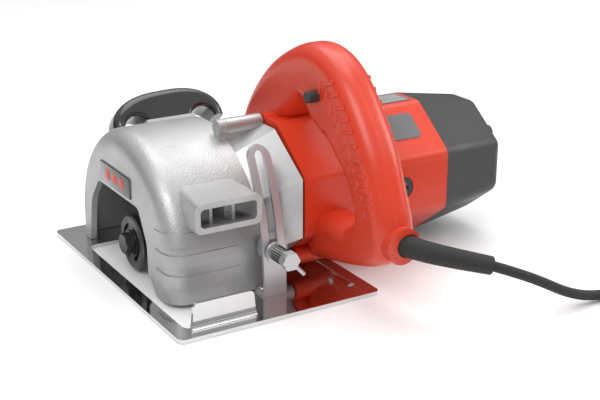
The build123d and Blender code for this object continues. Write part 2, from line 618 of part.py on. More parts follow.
def make_gear_housing():
    """Silver casting: faceted body, spindle snout, tie bosses and clamp lug."""
    start = GUARD_BACK + CASE_GAP
    front = Pos(start, 0, 0) * yz_face(gearcase_front())
    rear = Pos(GEARCASE_BACK, 0, 0) * yz_face(gearcase_rear())
    body = loft([front, rear], ruled=True)
    for y, z, radius in (TIE_TOP, TIE_LOW):
        first = start if z > MOTOR_Z else start + 14
        body = body + x_rod(first, GEARCASE_BACK, y, z, radius)
    snout = x_rod(GUARD_BACK - GUARD_WALL - 6, start + 1, SPINDLE_Y, SPINDLE_Z, SNOUT_RADIUS)
    body = body + snout + tie_web(start, GEARCASE_BACK)
    lug_face = Pos(ARM_X + 3, CLAMP_Z) * RectangleRounded(20, 16, 4)
    lug_near = arm_y(CLAMP_Z) + ARM_SHEET / 2 + LOOSE_FIT + 1.0
    lug = Pos(0, lug_near, 0) * extrude(Plane.XZ * lug_face, -14)
    near_wall = ARCH_Y - ARCH_RADIUS
    guard_room = block(-50, start, near_wall - BAND_PROUD - LOOSE_FIT, 200, -50, 200)
    body = body + (lug - guard_room)
    corners = [(31, 80), (0, 98), (-30, 90), (-58, 66), (-66, 36), (-38, 12), (24, 11), (31, 18)]
    cavity_front = Pos(start + GEARCASE_FLOOR, 0, 0) * yz_face(corners)
    cavity_rear = Pos(GEARCASE_BACK + 0.01, 0, 0) * yz_face(gearcase_rear(5.0))
    body = body - loft([cavity_front, cavity_rear], ruled=True)
    tip = (SPINDLE_TEETH / 2 + 1) * SECOND_MODULE + GEAR_ROOM
    body = body - x_rod(start + GEARCASE_FLOOR, GEAR_SECOND[1] + 1, SPINDLE_Y, SPINDLE_Z, tip)
    tip = (LAY_TEETH / 2 + 1) * FIRST_MODULE + GEAR_ROOM
    body = body - x_rod(GEAR_FIRST[0] - 1, GEARCASE_BACK, LAY_Y, LAY_Z, tip)
    lay_wall = x_rod(start + 4, GEARCASE_BACK - 17, LAY_Y, LAY_Z, LAY_BEARING + 3)
    body = body + lay_wall
    body = body - x_rod(-100, 100, SPINDLE_Y, SPINDLE_Z, SPINDLE_RADIUS + 2.0)
    for x0, x1 in SPINDLE_SEATS:
        body = body - x_rod(x0, x1, SPINDLE_Y, SPINDLE_Z, SPINDLE_BEARING)
    body = body - x_rod(*SEAL_SEAT, SPINDLE_Y, SPINDLE_Z, SEAL_RADIUS)
    body = body - x_rod(LAY_SEAT[0], start + 30, LAY_Y, LAY_Z, LAY_BEARING)
    body = body - y_rod(lug_near - 1, lug_near + 12, ARM_X, CLAMP_Z, STUD_RADIUS)
    for y, z, radius in (TIE_TOP, TIE_LOW):
        body = body - x_rod(start + 4 - (20 if z > MOTOR_Z else 0), 100, y, z, TIE_SCREW)
    for y, z in guard_screw_places():
        body = body - x_rod(start - 1, start + 30, y, z, SCREW_RADIUS)
        body = body - x_rod(start + GEARCASE_FLOOR - 4, start + 30, y, z, 2 * SCREW_RADIUS)
    return solids_of(body)


def make_bearing_plate():
    """Black plate between the gear housing and the motor, with three bearing seats."""
    plate = yz_prism(gearcase_rear(3.4), GEARCASE_BACK + CASE_GAP, PLATE_BACK)
    for y, z, radius in (TIE_TOP, TIE_LOW):
        plate = plate - x_rod(0, 100, y, z, radius + 1.0)
    for y, z, radius, shaft in shaft_seats():
        plate = plate - x_rod(GEARCASE_BACK, PLATE_SEAT[1], y, z, radius)
        plate = plate - x_rod(0, 100, y, z, shaft + 1.0)
    return plate


def shaft_seats():
    """Y, Z, bearing radius and shaft radius of each seat in the bearing plate."""
    return (
        (LAY_Y, LAY_Z, LAY_BEARING, LAYSHAFT_RADIUS),
        (MOTOR_Y, MOTOR_Z, ARMATURE_BEARING, ARMATURE_RADIUS),
    )


def make_bearings():
    """Bearings of each shaft, by node name."""
    rear = (REAR_BEARING, REAR_BEARING + REAR_BEARING_WIDTH)
    spindle = (SPINDLE_Y, SPINDLE_Z, SPINDLE_BEARING, SPINDLE_RADIUS + RUNNING_FIT)
    lay = (LAY_Y, LAY_Z, LAY_BEARING, LAYSHAFT_RADIUS + RUNNING_FIT)
    motor = (MOTOR_Y, MOTOR_Z, ARMATURE_BEARING, ARMATURE_RADIUS + RUNNING_FIT)
    return {
        "spindle_bearings": [bearing(*seat, *spindle) for seat in SPINDLE_SEATS],
        "layshaft_bearings": [bearing(*seat, *lay) for seat in (LAY_SEAT, PLATE_SEAT)],
        "armature_bearings": [bearing(*seat, *motor) for seat in (PLATE_SEAT, rear)],
    }


# ======================================================================================
# Motor housing, cap and what they hold
# ======================================================================================


def make_motor_housing():
    """Orange casing: octagonal shell with stator ribs, rear spider and tie bosses."""
    shell = case_prism(HOUSING_FRONT, HOUSING_BACK)
    for y, z, radius in (TIE_TOP, TIE_LOW):
        shell = shell + x_rod(HOUSING_FRONT, TIE_BACK, y, z, radius)
    front = GEARCASE_BACK + CASE_GAP
    inside = case_prism(PLATE_BACK + CASE_GAP, REAR_BEARING - 2, CASE_WALL)
    inside = inside + case_prism(REAR_BEARING + 9, HOUSING_BACK + 1, CASE_WALL)
    shell = shell - inside - yz_prism(gearcase_rear(2.9), front, PLATE_BACK + CASE_GAP + 0.01)
    seat = x_ring(STATOR_X[0], STATOR_X[1], MOTOR_Y, MOTOR_Z, STATOR_RADIUS + 3.5, STATOR_RADIUS)
    ribs = seat
    for turn in range(4):
        arm = block(STATOR_X[0], STATOR_X[1], STATOR_RADIUS + 2, CASE_HALF_Y - 2.5, -4, 4)
        ribs = ribs + Pos(0, MOTOR_Y, MOTOR_Z) * Rot(90 * turn, 0, 0) * arm
    shell = shell + ribs
    shell = shell - x_rod(0, 300, MOTOR_Y, MOTOR_Z, ARMATURE_RADIUS + 1.5)
    shell = shell - x_rod(REAR_BEARING, REAR_BEARING + 20, MOTOR_Y, MOTOR_Z, ARMATURE_BEARING)
    for turn in range(8):
        vent = block(REAR_BEARING - 10, REAR_BEARING + 20, 20, 34, -7, 7)
        shell = shell - Pos(0, MOTOR_Y, MOTOR_Z) * Rot(45 * turn, 0, 0) * vent
    for y, z in cap_corner_places():
        shell = shell + x_rod(REAR_BEARING + 8, HOUSING_BACK, y, z, CAP_BOSS)
        shell = shell - x_rod(HOUSING_BACK - 10, HOUSING_BACK + 1, y, z, SCREW_RADIUS)
    for y, z, radius in (TIE_TOP, TIE_LOW):
        shell = shell - x_rod(0, TIE_BACK + 1, y, z, TIE_SCREW)
        shell = shell - x_rod(TIE_BACK, TIE_BACK + 16, y, z, TIE_HEAD + 0.4)
    for side in (1, -1):
        ends = sorted((MOTOR_Y + side * 30, MOTOR_Y + side * 80))
        shell = shell - y_rod(*ends, BRUSH_X, MOTOR_Z, BRUSH_CAP + CASE_GAP)
    return solids_of(shell)


def cap_corner_places():
    """Y and Z of the four screws that hold the rear cap."""
    reach = (CASE_HALF_Y - 25, CASE_HALF_Z - 31)
    return [(MOTOR_Y + sy * reach[0], MOTOR_Z + sz * reach[1]) for sy in (1, -1) for sz in (1, -1)]


def make_rear_cap():
    """Black cap: tapered octagonal hood with outlet slots in its back."""
    start = HOUSING_BACK + CASE_GAP
    first = Pos(start, 0, 0) * yz_face(case_outline(), [CAP_CORNER] * 8)
    last = Pos(CAP_BACK, 0, 0) * yz_face(case_outline(CAP_TAPER), [CAP_CORNER] * 8)
    hood = loft([first, last], ruled=True)
    back = hood.edges().filter_by_position(Axis.X, CAP_BACK - 0.01, CAP_BACK + 0.01)
    hood = fillet(back, CAP_CORNER - 1)
    inner_first = Pos(start - 0.01, 0, 0) * yz_face(case_outline(CASE_WALL), [3.0] * 8)
    inner_outline = case_outline(CAP_TAPER + CASE_WALL + 2)
    inner_last = Pos(CAP_BACK - CASE_WALL, 0, 0) * yz_face(inner_outline, [3.0] * 8)
    hood = hood - loft([inner_first, inner_last], ruled=True)
    for row in range(-3, 4):
        z = MOTOR_Z + row * 9.0
        slot = block(CAP_BACK - 6, CAP_BACK + 2, MOTOR_Y - 24, MOTOR_Y + 24, z - 1.8, z + 1.8)
        hood = hood - slot
    for y, z in cap_corner_places():
        boss = x_rod(start, CAP_BACK - CASE_WALL / 2, y, z, CAP_BOSS + 1)
        hood = hood + (boss & loft([first, last], ruled=True))
        hood = hood - x_rod(start - 1, CAP_BACK - 12, y, z, SCREW_RADIUS)
        hood = hood - x_rod(CAP_BACK - 14, CAP_BACK + 1, y, z, 2 * SCREW_RADIUS)
    return solids_of(hood)


def make_cap_screws():
    """Four long screws that hold the rear cap to the motor housing."""
    screws = []
    for y, z in cap_corner_places():
        screw = x_rod(HOUSING_BACK - 10, CAP_BACK - 14, y, z, SCREW_RADIUS)
        screws.append(screw + x_rod(CAP_BACK - 14, CAP_BACK - 11, y, z, 1.8 * SCREW_RADIUS))
    return screws


def make_tie_screws():
    """Two long screws that clamp guard, gear housing and motor housing together."""
    screws = []
    for (y, z, radius), first in ((TIE_TOP, TIE_FRONT + 4), (TIE_LOW, GEARCASE_START + 16)):
        screw = x_rod(first, TIE_BACK, y, z, TIE_SCREW)
        head = x_rod(TIE_BACK, TIE_BACK + 4.5, y, z, TIE_HEAD)
        head = head - x_hex(TIE_BACK + 2, TIE_BACK + 6, y, z, 4.0)
        screws.append(screw + head)
    return screws


def make_guard_screws():
    """Screws through the gear housing's front wall into the guard."""
    screws = []
    start = GEARCASE_START
    seat = start + GEARCASE_FLOOR - 4
    for y, z in guard_screw_places():
        screw = x_rod(GUARD_BACK - GUARD_WALL, seat, y, z, SCREW_RADIUS)
        screws.append(screw + x_rod(seat, seat + 3, y, z, 1.8 * SCREW_RADIUS))
    return screws


def make_stator():
    """Laminated field core with two pole shoes, and its two windings."""
    core = x_ring(STATOR_X[0], STATOR_X[1], MOTOR_Y, MOTOR_Z, STATOR_RADIUS, STATOR_BORE + 9)
    place = Pos(0, MOTOR_Y, MOTOR_Z)
    windings = []
    for side in (1, -1):
        pole = block(STATOR_X[0], STATOR_X[1], -12, 12, STATOR_BORE - 1, STATOR_BORE + 12)
        shoe = x_ring(STATOR_X[0], STATOR_X[1], 0, 0, STATOR_BORE + 4, STATOR_BORE)
        shoe = shoe & block(STATOR_X[0] - 1, STATOR_X[1] + 1, -22, 22, 0, 60)
        pole = pole - x_rod(0, 200, 0, 0, STATOR_BORE)
        core = core + place * Rot(180 * (side < 0), 0, 0) * (pole + shoe)
        coil = block(STATOR_X[0] - 7, STATOR_X[1] + 7, -19, 19, STATOR_BORE + 4.4, STATOR_BORE + 8.6)
        coil = coil - block(STATOR_X[0] - 1, STATOR_X[1] + 1, -12.4, 12.4, 0, 60)
        windings.append(place * Rot(180 * (side < 0), 0, 0) * coil)
    return core, [winding - core for winding in windings]


def make_brush_gear():
    """Brush holders, screwed caps, carbon brushes and their springs."""
    inner = COMMUTATOR_RADIUS + 3
    outer = inner + BRUSH_LENGTH_OUT
    back = COMMUTATOR_RADIUS + BRUSH_LENGTH
    holder = y_rod(inner, outer, 0, 0, BRUSH_CAP - 1.5) - block(-4.1, 4.1, 0, 80, -5.1, 5.1)
    cap = y_rod(outer + CASE_GAP, CASE_HALF_Y - 0.4, 0, 0, BRUSH_CAP)
    cap = cap - block(-5, 5, CASE_HALF_Y - 1.6, CASE_HALF_Y + 5, -0.8, 0.8)
    brush = block(-4, 4, COMMUTATOR_RADIUS, back, -5, 5)
    brush = brush - x_rod(-10, 10, 0, 0, COMMUTATOR_RADIUS + RUNNING_FIT)
    spring = y_rod(back + 0.1, outer, 0, 0, 3.4) - y_rod(back, outer + 1, 0, 0, 2.4)
    sides = [Pos(BRUSH_X, MOTOR_Y, MOTOR_Z) * Rot(0, 0, turn) for turn in (0, 180)]
    return [[side * piece for side in sides] for piece in (holder, cap, brush, spring)]


# ======================================================================================
# Turning parts
# ======================================================================================
def make_spindle():
    """Spindle shaft with its shoulder and a threaded hole in its nose."""
    front = FLANGE_FACE + FLANGE_SHEET - 1.0
    shaft = x_rod(front, GEAR_SECOND[1] + 0.5, SPINDLE_Y, SPINDLE_Z, SPINDLE_RADIUS)
    stack_end = spacer_start(SPACERS) + FLANGE_SHEET
    shaft = shaft + x_rod(stack_end + 0.02, stack_end + 6, SPINDLE_Y, SPINDLE_Z, SPINDLE_RADIUS + 3)
    return shaft - x_rod(front - 1, front + 22, SPINDLE_Y, SPINDLE_Z, BOLT_RADIUS)


def spacer_start(index):
    """X of the front face of a blade spacer."""
    return FLANGE_FACE + FLANGE_SHEET + index * SPACER_SHEET


def make_flanges():
    """Outer flange with spanner groove, spacers and inner flange."""
    y, z = SPINDLE_Y, SPINDLE_Z
    outer = x_rod(FLANGE_FACE, FLANGE_FACE + FLANGE_SHEET, y, z, FLANGE_RADIUS)
    outer = chamfer(outer.edges().filter_by(GeomType.CIRCLE).sort_by(Axis.X)[0], 1.2)
    groove = x_ring(FLANGE_FACE - 1, FLANGE_FACE + 2.2, y, z, 15.0, 11.5)
    groove = groove - block(-100, 0, y - 4, y + 4, -50, 100)
    outer = outer - groove - x_rod(-100, 0, y, z, BOLT_RADIUS + LOOSE_FIT)
    outer = outer - x_rod(FLANGE_FACE + FLANGE_SHEET - 1.2, 0, y, z, SPINDLE_RADIUS + RUNNING_FIT)
    spacers = []
    for index in range(SPACERS):
        x = spacer_start(index)
        spacers.append(x_ring(x, x + SPACER_SHEET - 0.02, y, z, FLANGE_RADIUS - 1.5, HUB_RADIUS))
    x = spacer_start(SPACERS)
    inner = x_rod(x, x + FLANGE_SHEET, y, z, FLANGE_RADIUS)
    inner = inner + x_rod(spacer_start(0) + 0.2, x + 1, y, z, HUB_RADIUS - RUNNING_FIT)
    return outer, spacers, inner - x_rod(-100, 0, y, z, SPINDLE_RADIUS + RUNNING_FIT)


def make_flange_bolt():
    """Hexagon bolt and washer that clamp the flanges."""
    y, z = SPINDLE_Y, SPINDLE_Z
    washer = x_ring(FLANGE_FACE - 1.8, FLANGE_FACE - 0.02, y, z, BOLT_HEX * 0.66, BOLT_RADIUS + LOOSE_FIT)
    head = x_hex(FLANGE_FACE - 1.82 - BOLT_HEAD, FLANGE_FACE - 1.82, y, z, BOLT_HEX)
    cone = x_rod(FLANGE_FACE - 1.82 - BOLT_HEAD, FLANGE_FACE, y, z, BOLT_HEX * 0.56)
    head = head & chamfer(cone.edges().filter_by(GeomType.CIRCLE).sort_by(Axis.X)[0], 1.0)
    head = head & x_rod(-100, FLANGE_FACE - 1.82, y, z, 50)
    shank = x_rod(FLANGE_FACE - 1.82, FLANGE_FACE + FLANGE_SHEET + 20, y, z, BOLT_RADIUS)
    return head + shank, washer


def make_gears():
    """The four toothed wheels, phased so that the teeth mesh at rest."""
    motor, lay, spindle = (MOTOR_Y, MOTOR_Z), (LAY_Y, LAY_Z), (SPINDLE_Y, SPINDLE_Z)
    first_line, second_line = math_angle(*motor, *lay), math_angle(*lay, *spindle)
    lay_phase = first_line + pi + pi / LAY_TEETH
    spindle_phase = second_line + pi + pi / SPINDLE_TEETH
    first, second = (FIRST_MODULE, GEAR_FIRST), (SECOND_MODULE, GEAR_SECOND)
    return (
        spur_gear(PINION_TEETH, *first, *motor, 0.5, first_line),
        spur_gear(LAY_TEETH, *first, *lay, LAYSHAFT_RADIUS, lay_phase),
        spur_gear(LAY_PINION_TEETH, *second, *lay, LAYSHAFT_RADIUS, second_line),
        spur_gear(SPINDLE_TEETH, *second, *spindle, SPINDLE_RADIUS, spindle_phase),
    )


def math_angle(y0, z0, y1, z1):
    """Angle of the line from one shaft to another."""
    reach = hypot(y1 - y0, z1 - z0)
    angle = acos((y1 - y0) / reach)
    return angle if z1 >= z0 else -angle


def make_armature(pinion):
    """Motor shaft with its pinion, core, commutator and fan."""
    y, z = MOTOR_Y, MOTOR_Z
    shaft = x_rod(GEAR_FIRST[0], GEAR_FIRST[1] + 1, y, z, 3.2)
    shaft = shaft + x_rod(GEAR_FIRST[1] + 0.5, REAR_BEARING + 7, y, z, ARMATURE_RADIUS)
    shaft = shaft + pinion
    core = x_ring(STATOR_X[0], STATOR_X[1], y, z, STATOR_BORE - 0.5, ARMATURE_RADIUS)
    for slot in range(12):
        cut = block(0, 200, 22, 40, -1.2, 1.2)
        core = core - Pos(0, y, z) * Rot(30 * slot, 0, 0) * cut
    ends = x_ring(STATOR_X[0] - 6, STATOR_X[0] - 0.02, y, z, 21, ARMATURE_RADIUS)
    ends = ends + x_ring(STATOR_X[1] + 0.02, STATOR_X[1] + 6, y, z, 21, ARMATURE_RADIUS)
    commutator = x_ring(BRUSH_X - 8, BRUSH_X + 8, y, z, COMMUTATOR_RADIUS, ARMATURE_RADIUS)
    for bar in range(24):
        cut = block(0, 200, COMMUTATOR_RADIUS - 1.2, 30, -0.3, 0.3)
        commutator = commutator - Pos(0, y, z) * Rot(15 * bar, 0, 0) * cut
    disc = x_ring(FAN_X, FAN_X + 2, y, z, FAN_RADIUS, ARMATURE_RADIUS)
    fan = disc + x_ring(FAN_X, FAN_X + 8, y, z, 9, ARMATURE_RADIUS)
    for blade in range(11):
        vane = block(FAN_X + 1, FAN_X + 8, 16, FAN_RADIUS - 1, -0.8, 0.8)
        fan = fan + Pos(0, y, z) * Rot(360 / 11 * blade, 0, 0) * vane
    return shaft, core, ends, commutator, fan


# ======================================================================================
# D handle
# ======================================================================================


def shifted(points, distance, closed):
    """Points of an outline moved to its left, each along the bisector of its two edges."""
    moved = []
    for index, (a, b) in enumerate(points):
        inner = 0 < index < len(points) - 1
        before = points[index - 1] if closed or index else None
        after = points[(index + 1) % len(points)] if closed or inner or not index else None
        edges = [(a - before[0], b - before[1])] if before else []
        edges += [(after[0] - a, after[1] - b)] if after else []
        normals = [(-db / hypot(da, db), da / hypot(da, db)) for da, db in edges]
        first, last = normals[0], normals[-1]
        scale = distance / (1 + first[0] * last[0] + first[1] * last[1])
        moved.append((a + scale * (first[0] + last[0]), b + scale * (first[1] + last[1])))
    return moved


def handle_face(inset=0.0):
    """Side view of the D handle with its finger opening, moved in by an inset."""
    outline = shifted(OUTER_CURVE, inset, False)
    closing = Polyline(outline[-1], (-40, 40), (10, 80), outline[0])
    outer = make_face([Spline(*outline), *closing.edges()])
    corners = shifted(HOLE_CORNERS, inset, True)
    hole = make_face(Polyline(*corners, close=True))
    for point, radius in zip(corners, HOLE_RADII):
        if radius:
            corner = hole.vertices().sort_by_distance((point[0], point[1], 0))[0]
            hole = fillet(corner, radius)
    return outer, hole


def handle_block():
    """D handle as one rounded solid before it is split and hollowed."""
    outer, hole = handle_face()
    half = HANDLE_WIDTH / 2
    body = extrude(Plane.YZ * outer, half, both=True)
    rim = [edge for edge in body.edges() if abs(abs(edge.center().X) - half) < 0.01]
    body = fillet([edge for edge in rim if edge.length > 60], HANDLE_EDGE)
    body = body - extrude(Plane.YZ * hole, half + 1, both=True)
    rim = [edge for edge in body.edges() if abs(abs(edge.center().X) - half) < 0.01]
    body = fillet([edge for edge in rim if in_hole(edge.center())], HANDLE_INNER_EDGE)
    return Pos(HANDLE_X, 0, 0) * body


def handle_hollow():
    """Room inside the handle: a broad prism well inside its outline and a narrower, deeper one."""
    rooms = []
    for inset, half in HANDLE_ROOMS:
        outer, hole = handle_face(inset)
        rooms.append(extrude(Plane.YZ * (outer - hole), half, both=True))
    hollow = Pos(HANDLE_X, 0, 0) * (rooms[0] + rooms[1]) - case_prism(0, 300, -HANDLE_WALL)
    for y, z in handle_screw_places():
        hollow = hollow - x_rod(0, 200, y, z, HANDLE_BOSS)
    return hollow


def in_hole(point):
    """Whether a point on the handle's face lies on the rim of the finger opening."""
    return -128 < point.Y < -22 and 53 < point.Z < 141 and point.Z < 141 + (point.Y + 50) * 0.95 + 30


def make_handle_shells():
    """The two clamshell halves of the D handle."""
    sleeve_x, sleeve_z = SLEEVE_POINTS[0][0], SLEEVE_POINTS[0][2]
    body = handle_block() + y_rod(*COLLAR_Y, sleeve_x, sleeve_z, COLLAR_RADIUS)
    body = body - case_prism(0, 300, -0.1) - handle_hollow()
    for y, z, radius in (TIE_TOP, TIE_LOW):
        body = body - x_rod(0, TIE_BACK + 6, y, z, radius + LOOSE_FIT)
    for y, z in handle_screw_places():
        body = body - x_rod(HANDLE_X - 12, HANDLE_X + 40, y, z, SCREW_RADIUS)
        body = body - x_rod(HANDLE_X + 12, HANDLE_X + 40, y, z, 2 * SCREW_RADIUS)
    body = body - cord_tube(SLEEVE_POINTS[:4], SLEEVE_START_RADIUS + 0.15)
    body = body - y_rod(-149.3, -144.7, sleeve_x, sleeve_z, SLEEVE_START_RADIUS + 2.8)
    body = body - trigger_prism(TRIGGER_ROOM) - trigger_prism(TRIGGER_ROOM, TRIGGER_SWING + 1)
    body = body - x_rod(0, 200, *TRIGGER_PIVOT, TRIGGER_PIN)
    body = body - x_rod(0, HANDLE_X, *LOCK_PLACE, LOCK_RADIUS + 2 * RUNNING_FIT)
    left = body & block(0, HANDLE_X - 0.05, -300, 300, -50, 300)
    right = body & block(HANDLE_X + 0.05, 200, -300, 300, -50, 300)
    return left, right


def handle_screw_places():
    """Y and Z of the screws that join the two handle halves."""
    return ((22, 116), (-44, 160), (-118, 124), (-148, 78), (-104, 38))


def make_handle_screws():
    """Five screws that join the two handle halves."""
    screws = []
    for y, z in handle_screw_places():
        shank = x_rod(HANDLE_X - 12, HANDLE_X + 12, y, z, SCREW_RADIUS)
        head = x_rod(HANDLE_X + 12, HANDLE_X + 15, y, z, 1.8 * SCREW_RADIUS)
        screws.append(shank + head - block(HANDLE_X + 14, HANDLE_X + 16, y - 3, y + 3, z - 0.5, z + 0.5))
    return screws


# ======================================================================================
# Trigger, lock button and switch
# ======================================================================================


def trigger_prism(grow, turn=0.0):
    """Trigger's outline as a solid, grown all round and turned about its pivot."""
    face = make_face(Polyline(*TRIGGER_CORNERS, close=True))
    for point, radius in zip(TRIGGER_CORNERS, TRIGGER_RADII):
        corner = face.vertices().sort_by_distance((point[0], point[1], 0))[0]
        face = fillet(corner, radius)
    if grow:
        face = offset(face, grow)
    half = TRIGGER_WIDTH / 2 + grow
    body = Pos(HANDLE_X, 0, 0) * extrude(Plane.YZ * face, half, both=True)
    return body.rotate(Axis((0, *TRIGGER_PIVOT), (1, 0, 0)), turn)


def make_trigger():
    """Rocking trigger with a pivot hole."""
    body = trigger_prism(0.0)
    return body - x_rod(0, 200, *TRIGGER_PIVOT, TRIGGER_PIN + RUNNING_FIT)


def make_trigger_pin():
    """Pin that the trigger rocks on, held by both handle halves."""
    half = HANDLE_WIDTH / 2 - 4
    return x_rod(HANDLE_X - half, HANDLE_X + half, *TRIGGER_PIVOT, TRIGGER_PIN)


def make_lock_button():
    """Push button on the handle's flank, with a retaining collar inside."""
    face = HANDLE_X - HANDLE_WIDTH / 2
    collar_x = face + HANDLE_WALL + 0.3
    stem = x_rod(face - LOCK_OUT, collar_x + 1.6, *LOCK_PLACE, LOCK_RADIUS)
    stem = fillet(stem.edges().filter_by(GeomType.CIRCLE).sort_by(Axis.X)[0], 1.2)
    return stem + x_rod(collar_x, collar_x + 1.6, *LOCK_PLACE, LOCK_RADIUS + 1.5)


def make_switch_body():
    """Switch block inside the grip."""
    corners = [(-77, 139), (-95, 126), (-107, 140), (-88, 154)]
    return yz_prism(corners, HANDLE_X - SWITCH_HALF, HANDLE_X + SWITCH_HALF, [1.5] * 4)


# ======================================================================================
# Clamp and hinge pin
# ======================================================================================
def make_clamp_stud():
    """Threaded stud in the gear housing's lug."""
    inner = arm_y(CLAMP_Z) + ARM_SHEET / 2 + LOOSE_FIT + 9.5
    outer = clamp_face() - NUT_LENGTH - 2.5
    return y_rod(outer, inner, ARM_X, CLAMP_Z, STUD_RADIUS)


def clamp_face():
    """Y of the arm's outer face at the clamp."""
    return arm_y(CLAMP_Z) - ARM_SHEET / 2 - 1.2


def make_clamp_washer():
    """Thick washer between arm and nut."""
    face = clamp_face()
    washer = y_rod(face - 2.2, face - 0.05, ARM_X, CLAMP_Z, NUT_RADIUS + 2.0)
    return washer - y_rod(-200, 0, ARM_X, CLAMP_Z, STUD_RADIUS + RUNNING_FIT)


def make_clamp_nut():
    """Long barrel nut with a hexagon end."""
    start = clamp_face() - 2.25
    barrel = y_rod(start - NUT_LENGTH + 2, start, ARM_X, CLAMP_Z, NUT_RADIUS)
    hexagon = Plane.XZ * RegularPolygon(NUT_HEAD_RADIUS, 6)
    head = Pos(ARM_X, start - NUT_LENGTH + 2, CLAMP_Z) * extrude(hexagon, NUT_HEAD_LENGTH)
    nut = barrel + head - y_rod(start - NUT_LENGTH - 3, 0, ARM_X, CLAMP_Z, STUD_RADIUS + RUNNING_FIT)
    return nut - tommy_rod(TOMMY_RADIUS, 60)


def tommy_rod(radius, length):
    """Cylinder through the nut's head along the tommy bar's line."""
    y = clamp_face() - 2.25 - NUT_LENGTH + 2 - NUT_HEAD_LENGTH + 2.2
    lean = radians(-47)
    start = (ARM_X - length * 0.3 * cos(lean), y, CLAMP_Z - length * 0.3 * sin(lean))
    end = (ARM_X + length * 0.7 * cos(lean), y, CLAMP_Z + length * 0.7 * sin(lean))
    return rod(start, end, radius)


def make_tommy_bar():
    """Cross bar of the clamp nut."""
    return tommy_rod(TOMMY_RADIUS, TOMMY_LENGTH * 0.62)


def make_hinge_pin():
    """Pin through the guard's lugs and the sole's ears."""
    return x_rod(LUG_LEFT - 1, LUG_RIGHT + 1, HINGE_Y, HINGE_Z, HINGE_PIN_RADIUS)


def make_spindle_seal():
    """Felt seal round the spindle in the snout."""
    return x_ring(*SEAL_SEAT, SPINDLE_Y, SPINDLE_Z, SEAL_RADIUS, SPINDLE_RADIUS + RUNNING_FIT)


# ======================================================================================
# Labels
# ======================================================================================
def make_labels():
    """Blank rating plate on the upper near facet and a blank label on top."""
    (y0, z0), (y1, z1) = case_outline(-0.02)[2:4]
    reach = hypot(y0 - y1, z0 - z1)
    outward = (0, (z1 - z0) / reach, (y0 - y1) / reach)
    place = Plane(origin=(138, (y0 + y1) / 2, (z0 + z1) / 2), x_dir=(1, 0, 0), z_dir=outward)
    rating = place.location * Pos(0, 4, 0) * extrude(RectangleRounded(40, 24, 4), 0.5)
    top_place = Plane(origin=(152, MOTOR_Y, MOTOR_Z + CASE_HALF_Z + 0.02))
    return rating, extrude(top_place * RectangleRounded(34, 24, 2), 0.4)


# ======================================================================================
# Cord
# ======================================================================================


def rounded_path(points):
    """Straight runs joined by arcs as large as the runs allow; prints their radii."""
    radii = []
    for before, point, after in zip(points, points[1:], points[2:]):
        first, second = Vector(*point) - Vector(*before), Vector(*after) - Vector(*point)
        turn = radians(first.get_angle(second))
        radii.append(0.45 * min(first.length, second.length) / tan(turn / 2))
    print("arc radii", [round(radius, 1) for radius in radii])
    return FilletPolyline(*points, radius=radii)


def cord_tube(points, radius):
    """Round tube along a rounded path."""
    path = rounded_path(points)
    start = Plane(origin=path @ 0, z_dir=path % 0)
    tube = sweep(start * Circle(radius), path=path)
    share = tube.volume / (pi * radius**2 * path.length)
    print("tube volume share", round(share, 4), "length", round(path.length, 1))
    return tube


def make_sleeve():
    """Tapered rubber sleeve that bends with the cord as it leaves the handle."""
    path = rounded_path(SLEEVE_POINTS)
    first = Plane(origin=path @ 0, z_dir=path % 0) * Circle(SLEEVE_START_RADIUS)
    last = Plane(origin=path @ 1, z_dir=path % 1) * Circle(SLEEVE_END_RADIUS)
    sleeve = sweep([first, last], path=path, multisection=True)
    return sleeve + y_rod(-149, -145, SLEEVE_POINTS[0][0], SLEEVE_POINTS[0][2], SLEEVE_START_RADIUS + 2.5)


def make_coil():
    """Outer shape of the wound cord."""
    half_width = COIL_TURNS_WIDE * CORD_DIAMETER / 2
    outer, inner = COIL_MIDDLE_RADIUS + half_width, COIL_MIDDLE_RADIUS - half_width
    ring = Cylinder(outer, COIL_TURNS_HIGH * CORD_DIAMETER) - Cylinder(inner, 100)
    ring = fillet(ring.edges().filter_by(GeomType.CIRCLE), CORD_DIAMETER / 2.2)
    return Pos(*COIL_CENTRE, COIL_TURNS_HIGH * CORD_DIAMETER / 2) * ring


def make_plug():
    """Round two-pin plug lying level on the floor at the end of the cord."""
    before, after = Vector(*TAIL_POINTS[-2]), Vector(*TAIL_POINTS[-1])
    along = (after - before).normalized()
    across = Vector(0, 0, 1).cross(along)
    front = PLUG_NECK + PLUG_LENGTH
    marks = [after + along * reach for reach in (0, PLUG_NECK, front, front + PIN_LENGTH)]
    cone = Cone(5.0, 11.5, PLUG_NECK, align=(Align.CENTER, Align.CENTER, Align.MIN))
    head = rod(marks[1], marks[2], PLUG_HEAD)
    plug = Plane(origin=after, z_dir=along).location * cone
    plug = plug + fillet(head.edges().filter_by(GeomType.CIRCLE), 2.0)
    for side in (-PIN_SPREAD / 2, PIN_SPREAD / 2):
        plug = plug + rod(marks[2] - along + across * side, marks[3] + across * side, PIN_RADIUS)
    return plug


# ======================================================================================
# Write every node
# ======================================================================================
guard = make_guard()
gear_housing = make_gear_housing()
shells = make_handle_shells()
core, windings = make_stator()
holders, caps, brushes, springs = make_brush_gear()
bearings = make_bearings()
pinion, lay_gear, lay_pinion, spindle_gear = make_gears()
armature_shaft, armature_core, armature_windings, commutator, fan = make_armature(pinion)
outer_flange, spacers, inner_flange = make_flanges()
flange_bolt, flange_washer = make_flange_bolt()
layshaft = x_rod(LAY_SEAT[0], PLATE_SEAT[1], LAY_Y, LAY_Z, LAYSHAFT_RADIUS) + lay_pinion
rating_plate, top_label = make_labels()

